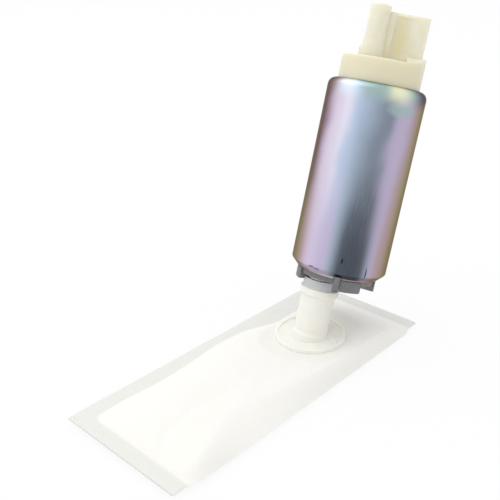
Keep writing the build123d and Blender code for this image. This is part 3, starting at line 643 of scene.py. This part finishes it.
@dataclass(frozen=True)
class Felt:
    """The pouch's cloth, in millimetres, and in lumps in a millimetre where a noise is sized."""

    colour: Colour = tint(251, 250, 246)
    weld_colour: Colour = tint(234, 234, 230)
    speck_colour: Colour = tint(240, 240, 238)
    fibre: float = 2.2
    patches: float = 0.35
    patch_share: float = 0.55
    cross: float = 38.0          # degrees from the pouch's length to each set of pressed lines
    lines: float = 0.26
    line_bend: float = 1.2
    line_detail: float = 0.6
    weld_bump: float = 1.5       # the weld's pattern against the fibre's bumps
    bump: float = 0.055
    weld_range: tuple[float, float] = (1.0, 0.62)
    roughness: float = 0.85
    shine: float = 0.25
    sheen: float = 0.15
    depth_share: float = 0.25
    depth: float = 0.8


class Paint(Wires):
    """A material in the making, with a Principled shader."""

    SCATTER = (1.0, 0.9, 0.75)  # how far red, green and blue light go into a plastic

    def __init__(self, name: str, effects: Effects) -> None:
        """Start the material.

        Args:
            name: its name.
            effects: the shared node groups.
        """
        self.material = bpy.data.materials.new(name)
        self.material.use_nodes = True
        self.effects = effects
        super().__init__(self.material.node_tree)

    def shade(self, inputs: dict) -> Material:
        """Fill some of the shader's inputs, and give the material."""
        self.feed(self.tree.nodes["Principled BSDF"], inputs)
        return self.material

    def finish(self, look: Look) -> Socket:
        """Give the shader all of a look but its colour.

        Args:
            look: the look.

        Returns:
            The socket of the look's mottled colour.
        """
        sizes = look.value
        mottle = self.group(self.effects.mottle, {
            "Light": sizes.light, "Dark": sizes.dark, "Roughness": sizes.roughness,
            "Grain": sizes.grain, "Stretch": sizes.stretch, "Bump": sizes.bump})
        self.shade({"Roughness": mottle["Roughness"], "Normal": mottle["Normal"], "Metallic": sizes.metallic})
        if sizes.subsurface:
            self.shade({
                "Subsurface Weight": sizes.depth, "Subsurface Radius": self.SCATTER,
                "Subsurface Scale": sizes.subsurface * MM})
        return mottle["Colour"]

    def mark(self, mark: Mark, strength: float = 1.0) -> Socket:
        """Add the mask of a soft-edged mark, with this strength in its middle."""
        mask = self.group(self.effects.mark, {
            "Turn": mark.turn, "Height": mark.height, "Wide": mark.wide, "High": mark.high})["Mask"]
        return self.math("MULTIPLY", mask, strength)


class PlatedPaint(Paint):
    """The can's rainbow plating: soft bands of film colour along the can with painted reflections, highlights
    and dark edges, streaks and small marks.
    """

    # Places round the can, from -0.5 to 0.5 with 0 at its front, and the colour painted there: the film's
    # colour with painted reflections, highlights and dark edges.
    FILM_AND_REFLECTION_HIGH = (
        (-0.50, FilmAndReflection.STEEL), (-0.43, FilmAndReflection.MAUVE), (-0.36, FilmAndReflection.MIST), (-0.29, FilmAndReflection.TAUPE),
        (-0.24, FilmAndReflection.OLIVE), (-0.21, FilmAndReflection.PLUM), (-0.18, FilmAndReflection.PLUM), (-0.15, FilmAndReflection.DUSK),
        (-0.125, FilmAndReflection.ROSE), (-0.10, FilmAndReflection.PEARL), (-0.085, FilmAndReflection.PEARL), (-0.062, FilmAndReflection.HAZE),
        (-0.04, FilmAndReflection.HAZE), (-0.01, FilmAndReflection.STEEL), (0.025, FilmAndReflection.PEWTER), (0.055, FilmAndReflection.PEWTER),
        (0.08, FilmAndReflection.MAUVE), (0.12, FilmAndReflection.MAUVE), (0.15, FilmAndReflection.TAUPE), (0.18, FilmAndReflection.STRAW),
        (0.24, FilmAndReflection.OLIVE), (0.29, FilmAndReflection.TAUPE), (0.35, FilmAndReflection.ROSE), (0.42, FilmAndReflection.MIST),
        (0.50, FilmAndReflection.STEEL),
    )
    FILM_AND_REFLECTION_LOW = (
        (-0.50, FilmAndReflection.PEWTER), (-0.44, FilmAndReflection.STEEL), (-0.36, FilmAndReflection.MAUVE), (-0.29, FilmAndReflection.ROSE),
        (-0.24, FilmAndReflection.OLIVE), (-0.18, FilmAndReflection.OLIVE), (-0.15, FilmAndReflection.TAUPE), (-0.125, FilmAndReflection.BLUSH),
        (-0.10, FilmAndReflection.LILAC), (-0.075, FilmAndReflection.MAUVE), (-0.05, FilmAndReflection.MAUVE), (-0.03, FilmAndReflection.STEEL),
        (-0.015, FilmAndReflection.PEWTER), (0.0, FilmAndReflection.SLATE), (0.03, FilmAndReflection.SLATE), (0.06, FilmAndReflection.SLATE),
        (0.072, FilmAndReflection.SLATE), (0.085, FilmAndReflection.PEWTER), (0.105, FilmAndReflection.MAUVE), (0.13, FilmAndReflection.TAUPE),
        (0.155, FilmAndReflection.TAUPE), (0.18, FilmAndReflection.OLIVE), (0.24, FilmAndReflection.OLIVE), (0.31, FilmAndReflection.MAUVE),
        (0.42, FilmAndReflection.LILAC), (0.50, FilmAndReflection.PEWTER),
    )
    # The shoulder's film colours with a painted highlight: pale ice and citrine where the lamps shine on it.
    SHOULDER_FILM_AND_HIGHLIGHT = (
        (-0.50, FilmAndReflection.DUSK), (-0.30, FilmAndReflection.MIST), (-0.22, FilmAndReflection.PLUM), (-0.18, FilmAndReflection.PLUM),
        (-0.15, FilmAndReflection.TAUPE), (-0.12, FilmAndReflection.ICE), (-0.09, FilmAndReflection.ICE), (-0.06, FilmAndReflection.MIST),
        (-0.03, FilmAndReflection.TEAL), (0.0, FilmAndReflection.TEAL), (0.03, FilmAndReflection.TEAL), (0.055, FilmAndReflection.CITRINE),
        (0.09, FilmAndReflection.CITRINE), (0.125, FilmAndReflection.TEAL), (0.155, FilmAndReflection.PEWTER), (0.19, FilmAndReflection.SLATE),
        (0.28, FilmAndReflection.TAUPE), (0.36, FilmAndReflection.MIST), (0.50, FilmAndReflection.DUSK),
    )
    # The lip's film colours with a painted highlight line along the crimp.
    LIP_FILM_AND_HIGHLIGHT = (
        (-0.50, FilmAndReflection.DUSK), (-0.24, FilmAndReflection.OLIVE), (-0.12, FilmAndReflection.OLIVE), (-0.03, FilmAndReflection.ROSE),
        (0.03, FilmAndReflection.ROSE), (0.12, FilmAndReflection.COPPER), (0.19, FilmAndReflection.OLIVE), (0.34, FilmAndReflection.ROSE),
        (0.50, FilmAndReflection.DUSK),
    )
    HALF = 0.5  # moves places round the can to 0 to 1, as ramps and curves take them

    def __init__(self, effects: Effects, sizes: Plating) -> None:
        """Start the material.

        Args:
            effects: the shared node groups.
            sizes: where the plating changes.
        """
        super().__init__("plated_steel", effects)
        self.sizes = sizes
        self.axis = self.group(effects.axis, {})

    def build(self) -> Material:
        """Make the plating.

        Returns:
            The material.
        """
        sizes = self.sizes
        height = self.axis["Height"]
        place = self.math("ADD", self.axis["Turn"], self.HALF)
        cloud = self.noise(self.axis["Point"], sizes.cloud, detail=3.0)
        sway = self.remap(cloud, *sizes.cloud_range, -sizes.sway, sizes.sway)
        swayed = self.math("FRACT", self.math("ADD", self.leaning(sizes.drift), sway))
        low = self.band(self.FILM_AND_REFLECTION_LOW, place)
        colour = self.mix(low, self.band(self.FILM_AND_REFLECTION_HIGH, swayed), self.step(height, sizes.upper_film))
        # The dark band: scuffs with a painted dark reflection.
        streaks, scuffs_and_reflection = self.streaks()
        colour = self.mix(colour, sizes.scuff_and_reflection_colour, scuffs_and_reflection)
        for mark in sizes.marks:
            colour = self.mix(colour, sizes.mark_colour, self.mark(mark))
        # Teal film with a painted glow, below the shoulder's painted highlight.
        colour = self.mix(colour, FilmAndReflection.TEAL.value, self.mark(sizes.patch, sizes.patch_strength))
        # A painted highlight on the shoulder and a painted highlight line along the lip, over their film
        # colours.
        for stops, span in ((self.SHOULDER_FILM_AND_HIGHLIGHT, sizes.shoulder), (self.LIP_FILM_AND_HIGHLIGHT, sizes.lip)):
            colour = self.mix(colour, self.band(stops, place), self.step(height, span))
        return self.shade({
            "Base Color": colour, "Roughness": self.remap(streaks, 0.0, 1.0, *sizes.roughness),
            "Normal": self.bump(streaks, sizes.bump * MM), "Metallic": 1.0,
            "Specular Tint": sizes.edge_tint})

    def leaning(self, lean: float) -> Socket:
        """Give places round the can, from 0 to 1, moved on by the lean low down and back by it high up."""
        shift = self.remap(self.axis["Height"], 0.0, self.sizes.length, lean, -lean)
        return self.math("ADD", self.math("ADD", self.axis["Turn"], shift), self.HALF)

    def band(self, stops: tuple[tuple[float, FilmAndReflection], ...], place: Socket) -> Socket:
        """Add a ramp of colours round the can: film colours with painted reflections and highlights.

        Args:
            stops: pairs of a place from -0.5 to 0.5 and a colour of film and painted reflection.
            place: the socket that says where a point is, from 0 to 1.

        Returns:
            The ramp's colour socket.
        """
        node = self.add("ValToRGB", {"Fac": place})
        node.color_ramp.interpolation = "B_SPLINE"
        elements = node.color_ramp.elements
        while len(elements) < len(stops):
            elements.new(self.HALF)
        for element, (where, film) in zip(elements, stops):
            element.position = where + self.HALF
            element.color = (*film.value, 1)
        return node.outputs["Color"]

    def streaks(self) -> tuple[Socket, Socket]:
        """Add the fine streaks along the can and the dark band low on its front, scuffs with a painted dark
        reflection.

        Returns:
            The sockets of the streaks and of the scuffs with their painted dark reflection, each from 0 to 1.
        """
        sizes = self.sizes
        pulled = self.math("MULTIPLY", self.axis["Point"], (1.0, 1.0, sizes.streak_pull), kind="VectorMath")
        lines = self.noise(pulled, sizes.streaks, detail=7.0, roughness=0.68)
        band = self.add("FloatCurve", {"Value": self.leaning(sizes.scuff_and_reflection_lean)})
        curve = band.mapping.curves[0]
        for where, strength in sizes.scuff_and_reflection_band:
            curve.points.new(where, strength)
        curve.points[0].location = (0, 0)
        curve.points[-1].location = (1, 0)
        band.mapping.update()
        low = self.math("MULTIPLY", band.outputs[0], self.remap(self.axis["Height"], *sizes.scuff_and_reflection_fade))
        return lines, self.math("MULTIPLY", low, self.remap(lines, *sizes.scuff_and_reflection_range))


@dataclass
class Materials:
    """Makes and keeps the materials."""

    FLOOR_GLOW = 0.9  # how much of the floor is plain white where it is looked at

    effects: Effects
    made: dict[Look, Material] = field(default_factory=dict)

    def plain(self, look: Look) -> Material:
        """Make the material of a look, or give the one that was made before.

        Args:
            look: the look.

        Returns:
            The material.
        """
        if look not in self.made:
            paint = Paint(look.name.lower(), self.effects)
            self.made[look] = paint.shade({"Base Color": paint.finish(look)})
        return self.made[look]

    def moulded(self, name: str, moulding: Moulding) -> Material:
        """Make the plastic of a moulding whose tone changes.

        Args:
            name: the material's name.
            moulding: the moulding.

        Returns:
            The material.
        """
        paint = Paint(name, self.effects)
        plastic = paint.finish(moulding.look)
        # The other colour: a darker disc on the cover, painted shade under the casting on the neck.
        changed = paint.step(paint.group(self.effects.axis, {})["Height"], moulding.span)
        colour = paint.mix(plastic, moulding.colour, changed)
        # Painted shade, darker and yellower, in the socket's recessed front wall.
        if moulding.recess_shade:
            recess_shade = paint.mark(moulding.recess_shade, moulding.recess_shade_strength)
            colour = paint.mix(colour, moulding.recess_shade_colour, recess_shade)
        return paint.shade({"Base Color": colour})

    def cloth(self) -> Material:
        """Make the pouch's fine white felted cloth, pressed harder along its welds.

        Returns:
            The material.
        """
        felt = Felt()
        paint = Paint("filter_cloth", self.effects)
        spot = paint.add("TexCoord", {}).outputs["Object"]
        point = paint.turned(spot, 0.0, scale=1 / MM)
        fibre = paint.noise(point, felt.fibre, detail=5.0)
        weld = paint.add("Attribute", {}, attribute_name="weld").outputs["Fac"]
        waves = []
        for turn in (felt.cross, -felt.cross):
            waves.append(paint.add("TexWave", {
                "Vector": paint.turned(point, turn), "Scale": felt.lines, "Distortion": felt.line_bend,
                "Detail Scale": felt.line_detail}).outputs["Fac"])
        patches = paint.noise(point, felt.patches, detail=3.0)
        press = paint.mix(paint.math("MULTIPLY", *waves), patches, felt.patch_share, kind="FLOAT")
        height = paint.math("MULTIPLY_ADD", paint.math("MULTIPLY", weld, press), felt.weld_bump, fibre)
        share = paint.math("MULTIPLY", weld, paint.remap(press, 0.0, 1.0, *felt.weld_range))
        colour = paint.mix(felt.colour, felt.weld_colour, share)
        return paint.shade({
            "Base Color": paint.mix(colour, felt.speck_colour, fibre, mode="MULTIPLY"),
            "Normal": paint.bump(height, felt.bump * MM), "Roughness": felt.roughness,
            "Specular IOR Level": felt.shine, "Sheen Weight": felt.sheen,
            "Subsurface Weight": felt.depth_share, "Subsurface Radius": (1.0, 1.0, 1.0),
            "Subsurface Scale": felt.depth * MM})

    def floor(self) -> Material:
        """Make the white floor, which the camera sees as white with a faint shadow.

        Returns:
            The material.
        """
        paint = Paint("floor", self.effects)
        paint.shade({"Base Color": tint(242, 242, 242), "Roughness": 0.9, "Specular IOR Level": 0.1})
        lit = paint.tree.nodes["Principled BSDF"].outputs[0]
        glow = paint.add("Emission", {"Strength": 1.0}).outputs[0]
        seen = paint.math("MULTIPLY", paint.looked_at(), self.FLOOR_GLOW)
        mixed = paint.add("MixShader", {0: seen, 1: lit, 2: glow}).outputs[0]
        paint.feed(paint.tree.nodes["Material Output"], {"Surface": mixed})
        return paint.material


def linked(name: str, data: bpy.types.ID) -> bpy.types.Object:
    """Make an object and put it in the scene.

    Args:
        name: its name.
        data: its mesh, lamp or camera.

    Returns:
        The object.
    """
    made = bpy.data.objects.new(name, data)
    bpy.context.scene.collection.objects.link(made)
    return made


@dataclass
class Pouch:
    """The cloth pouch: pillow-shaped, welded at both ends and its back, folded at its front."""

    sizes: PouchSizes

    def inside_ends(self, x: float) -> float:
        """Give how far x is inside the nearer end weld, in millimetres, below 0 in the weld."""
        s = self.sizes
        return min(x - s.far, s.short_end - x) - s.end_weld

    def swell(self, x: float) -> float:
        """Give how far the pillow is open at x, from 0 in the end welds to 1."""
        share = min(max(self.inside_ends(x) / self.sizes.rise, 0.0), 1.0)
        return 1 - (1 - share) ** self.sizes.rise_power

    def weld_line(self, x: float) -> float:
        """Give where the pillow meets the back's weld at x.

        Args:
            x: place along the pouch, in millimetres.

        Returns:
            The place along Y, in millimetres.
        """
        s = self.sizes
        corner = -s.corner_cut * (1 - rounded(self.inside_ends(x) / s.corner_reach))
        by_flange = -s.flange_pull * smooth(*s.pull_start, x) * (1 - smooth(*s.pull_end, x))
        wave = s.wave_mean + s.wave_height * sin(x / s.wave_length) + sum(crest.at(x) for crest in s.crests)
        return s.back - s.side_weld + by_flange + wave + corner

    def nose(self, swell: float) -> float:
        """Give where the fold is along Y, in millimetres, by how far the pillow is open."""
        return self.sizes.fore - self.sizes.fold_bulge * smooth(0, self.sizes.bulge_full, swell)

    def ripple(self, x: float, y: float) -> float:
        """Give the cloth's soft unevenness and creases at a point of its upper face.

        Args:
            x: place along the pouch, in millimetres.
            y: place across it.

        Returns:
            Height to add, in millimetres.
        """
        s = self.sizes
        soft = 0.0
        for height, long, wide, level in s.uneven:
            soft += height * noise.noise(Vector((x / long, y / wide, level)))
        for crease in s.creases:
            turn = radians(crease.turn)
            from_x = x - s.far - crease.place
            from_y = y - s.shift - crease.across
            along = from_x * cos(turn) + from_y * sin(turn)
            across = -from_x * sin(turn) + from_y * cos(turn)
            soft += crease.height * exp(-(along / crease.length) ** 2 - (across / crease.width) ** 2)
        return soft

    def welded(self, x: float, y: float, height: float) -> float:
        """Give the height of a layer in the back weld, which curls a little.

        Args:
            x: place along the pouch, in millimetres.
            y: place across it.
            height: the layer's height where the weld is flat.

        Returns:
            The height, in millimetres.
        """
        s = self.sizes
        curl = s.curl * noise.noise(Vector((x / s.curl_length, 0, s.curl_level)))
        return height + curl * smooth(s.back - s.curl_reach, s.back, y)

    def layer(self, swell: float, outer: float, edge: float, full: float, round_share: float) -> float:
        """Give the height of a layer between the fold and the back weld.

        Args:
            swell: how far the pillow is open.
            outer: how far in from the fold, in millimetres.
            edge: the layer's height where both are pressed together.
            full: its height where the fold doesn't pull at it.
            round_share: how far it has come from the fold's middle to that height, from 0 to 1.

        Returns:
            The height, in millimetres.
        """
        s = self.sizes
        middle = s.weld_height + (s.nose_height - s.weld_height) * swell
        open_height = middle + (full - middle) * round_share
        flat = s.weld_height + (edge - s.weld_height) * rounded(outer / s.edge_round)
        return flat + (open_height - flat) * smooth(0, s.parting, swell)

    def upper(self, x: float, share: float) -> tuple[float, float]:
        """Give a point of the upper face.

        Args:
            x: place along the pouch, in millimetres.
            share: 0 at the back's welded edge, 1 at the fold.

        Returns:
            Its places along Y and Z, in millimetres.
        """
        s = self.sizes
        swell = self.swell(x)
        root = self.weld_line(x)
        nose = self.nose(swell)
        high = s.weld_height + s.weld_wall / 2
        y = s.back + (nose - s.back) * share
        if y >= root:
            return y, self.welded(x, y, high)
        back_rise = 1 - (1 - min((root - y) / s.back_rise, 1)) ** s.back_power
        wider = s.slope_before if x < s.slope_before.middle else s.slope_after
        from_fold = min(max((y - nose) / (s.slope_least + wider.at(x)), 0.0), 1.0)
        front_rise = 1 - (1 - from_fold) ** s.fold_power
        top = high + (s.crown - high) * swell * back_rise
        z = self.layer(swell, y - nose, high, top, front_rise)
        ring = (x * x + y * y) ** 0.5 - s.flange_radius
        z += self.ripple(x, y) * back_rise * front_rise * swell * smooth(*s.flat_ring, ring)
        seat = smooth(*s.seat_ring, ring)
        return y, min(z, s.flange_low - s.seat_gap + (s.crown - s.flange_low + s.seat_lift) * seat)

    def lower(self, x: float, share: float) -> tuple[float, float]:
        """Give a point of the lower face.

        Args:
            x: place along the pouch, in millimetres.
            share: 0 at the fold, 1 at the back's welded edge.

        Returns:
            Its places along Y and Z, in millimetres.
        """
        s = self.sizes
        swell = self.swell(x)
        root = self.weld_line(x)
        nose = self.nose(swell)
        low = s.weld_height - s.weld_wall / 2
        y = nose + (s.back - nose) * share
        if y >= root:
            return y, self.welded(x, y, low)
        bottom = low * (1 - swell * smooth(0, s.under_fall, root - y))
        from_fold = rounded((y - nose) / s.under_round, s.under_power)
        return y, max(self.layer(swell, y - nose, low, bottom, from_fold), 0.0)

    def build(self, material: Material) -> bpy.types.Object:
        """Build the pouch's mesh.

        Args:
            material: the cloth.

        Returns:
            The pouch.
        """
        s = self.sizes
        mesh = bmesh.new()
        weld_layer = mesh.verts.layers.float.new("weld")
        half = s.steps_over
        shares = [
            (1 - s.even_steps) * (0.5 - 0.5 * cos(pi * count / half)) + s.even_steps * count / half
            for count in range(half + 1)]
        loops = []
        for step in range(s.steps_long + 1):
            x = s.far + s.length * step / s.steps_long
            loop = [self.upper(x, share) for share in shares] + [self.lower(x, share) for share in shares[1:]]
            verts = []
            for y, z in loop:
                vert = mesh.verts.new((x * MM, y * MM, z * MM))
                inside = min(self.inside_ends(x), self.weld_line(x) - y)
                vert[weld_layer] = 1 - smooth(*s.weld_edge, inside)
                verts.append(vert)
            loops.append(verts)
        size = len(loops[0])
        for first, second in zip(loops, loops[1:]):
            for index in range(size):
                after = (index + 1) % size
                mesh.faces.new((first[index], first[after], second[after], second[index]))
        for loop, way in ((loops[0], -1), (loops[-1], 1)):  # each end's corners, as seen from outside
            for index in range(half):
                corners = (loop[index], loop[index + 1], loop[size - 2 - index], loop[size - 1 - index])
                mesh.faces.new(tuple(dict.fromkeys(corners))[::way])
        bmesh.ops.recalc_face_normals(mesh, faces=mesh.faces)
        data = bpy.data.meshes.new("pouch_cloth")
        mesh.to_mesh(data)
        mesh.free()
        data.polygons.foreach_set("use_smooth", [True] * len(data.polygons))
        data.set_sharp_from_angle(angle=radians(s.sharp))
        data.materials.append(material)
        log.info("pouch: %d faces", len(data.polygons))
        return linked("pouch_cloth", data)


@dataclass
class Studio:
    """The floor, the lamps, the world and the camera."""

    sizes: StageSizes
    camera: CameraSizes
    materials: Materials

    def build(self) -> None:
        """Set everything up."""
        self._floor()
        self._world()
        for lamp in self.sizes.lamps:
            self._hang(lamp)
        self._camera()
        bpy.context.scene.view_settings.view_transform = "Standard"
        log.info("stage: %d lamps, lens %.1f mm", len(self.sizes.lamps), self.camera.lens)

    def _floor(self) -> None:
        """Lay the floor."""
        half = self.sizes.floor / 2
        corners = [(-half, -half, 0), (half, -half, 0), (half, half, 0), (-half, half, 0)]
        data = bpy.data.meshes.new("floor")
        data.from_pydata(corners, [], [(0, 1, 2, 3)])
        data.materials.append(self.materials.floor())
        floor = linked("floor", data)
        floor.location.z = -self.sizes.floor_drop

    def _world(self) -> None:
        """Make a pale world, brighter above and behind, that is white to the camera and in reflections."""
        world = bpy.data.worlds.new("studio")
        bpy.context.scene.world = world
        world.use_nodes = True
        wires = Wires(world.node_tree)
        way = wires.add("TexCoord", {}).outputs["Generated"]
        side = Vector(self.sizes.world_side).normalized()
        facing = wires.add("VectorMath", {0: way, 1: side}, operation="DOT_PRODUCT").outputs["Value"]
        soft = wires.remap(facing, -1.0, 1.0, self.sizes.world_low, self.sizes.world_high)
        wires.feed(world.node_tree.nodes["Background"], {
            "Color": (1, 1, 1), "Strength": wires.mix(soft, 1.0, wires.looked_at(), kind="FLOAT")})

    def _hang(self, lamp: Lamp) -> None:
        """Hang a soft lamp that looks at the pump.

        Args:
            lamp: the lamp.
        """
        light = bpy.data.lights.new(lamp.name, "AREA")
        light.energy = lamp.power
        light.size = lamp.size
        holder = linked(lamp.name, light)
        holder.location = lamp.place
        aim = Vector(self.sizes.aim) - Vector(lamp.place)
        holder.rotation_euler = aim.to_track_quat("-Z", "Y").to_euler()

    def _camera(self) -> None:
        """Place the camera where the photograph was taken from."""
        sizes = self.camera
        right = Vector(sizes.right)
        back = right.cross(Vector(sizes.up)).normalized()
        up = back.cross(right).normalized()
        camera = bpy.data.cameras.new("camera")
        camera.lens = sizes.lens
        camera.sensor_width = sizes.sensor
        camera.sensor_fit = "HORIZONTAL"
        camera.clip_start = sizes.nearest
        holder = linked("camera", camera)
        turn = Matrix((right.normalized(), up, back)).transposed().to_4x4()
        holder.matrix_world = Matrix.Translation(sizes.place) @ turn
        bpy.context.scene.camera = holder


@dataclass
class OutletWeb:
    """The thin web that closes the slit between the outlet nipple and the socket, in millimetres.

    Its places are in the outlet cover's own frame, which is turned about the pump's axis.
    """

    turn: float = -57.3
    low: Vector = field(default_factory=lambda: Vector((-1.9, -5.25, 83.0)))
    high: Vector = field(default_factory=lambda: Vector((1.15, -4.5, 100.4)))
    edge: float = 0.1  # its edges are rounded by this

    def build(self, place: PumpPlace, material: Material) -> bpy.types.Object:
        """Build the web.

        Args:
            place: where the pump stands.
            material: its plastic.

        Returns:
            The web.
        """
        mesh = bmesh.new()
        bmesh.ops.create_cube(mesh, size=1.0)
        size = self.high - self.low
        bmesh.ops.scale(mesh, vec=size * MM, verts=mesh.verts)
        bmesh.ops.translate(mesh, vec=(self.low + self.high) / 2 * MM, verts=mesh.verts)
        bmesh.ops.bevel(
            mesh, geom=mesh.edges[:], offset=self.edge * MM, segments=2, affect="EDGES", profile=0.5)
        data = bpy.data.meshes.new("outlet_web")
        mesh.to_mesh(data)
        mesh.free()
        data.transform(place.matrix() @ Matrix.Rotation(radians(self.turn), 4, "Z"))
        data.materials.append(material)
        log.info("outlet web: %.1f x %.1f x %.1f mm", *size)
        return linked("outlet_web", data)


@dataclass
class PumpScene:
    """The whole scene."""

    place: PumpPlace = field(default_factory=PumpPlace)
    pouch: PouchSizes = field(default_factory=PouchSizes)
    stage: StageSizes = field(default_factory=StageSizes)
    camera: CameraSizes = field(default_factory=CameraSizes)
    web: OutletWeb = field(default_factory=OutletWeb)

    def build(self) -> None:
        """Load the part, dress it and set the stage."""
        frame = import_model()
        materials = Materials(Effects(self.place))
        self._dress(frame, materials)
        self._coil(frame)
        web = self.web.build(self.place, materials.plain(Look.WEB))
        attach(web, "pump")
        pouch = Pouch(self.pouch).build(materials.cloth())
        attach(pouch, "pump")
        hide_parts("filter_pouch")
        Studio(self.stage, self.camera, materials).build()
        bpy.context.view_layer.update()
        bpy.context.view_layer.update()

    @staticmethod
    def _plain(box: tuple) -> list[list[float]]:
        """Turn a box's two corners into plain lists of numbers."""
        return [[float(value) for value in corner] for corner in box]

    def _coil(self, frame: dict) -> None:
        """Give each spring's node its own copy of its mesh.
        """
        axis = self.place.matrix().to_3x3() @ Vector((0, 0, 1))
        for spring in SPRINGS:
            node = frame["nodes"][spring.node]
            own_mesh(node)

    @staticmethod
    def _dress(frame: dict, materials: Materials) -> None:
        """Give every CAD node its material, by its own name or by the slot that it was packed with.

        Args:
            materials: the materials.
        """
        special = {
            "case": PlatedPaint(materials.effects, Plating()).build(),
            "strainer_neck": materials.moulded("neck_plastic", NECK),
            "outlet_cover": materials.moulded("cover_plastic", COVER),
        }
        for name, node in frame["nodes"].items():
            slot = node.data.materials[0].name
            material = special.get(name) or materials.plain(SLOT_LOOKS[slot])
            node.data.materials.clear()
            node.data.materials.append(material)
            log.info("%s: slot %s, %s, %d faces", name, slot, material.name, len(node.data.polygons))


def main() -> None:
    """Build the scene."""
    PumpScene().build()


if __name__ == "__main__":
    main()
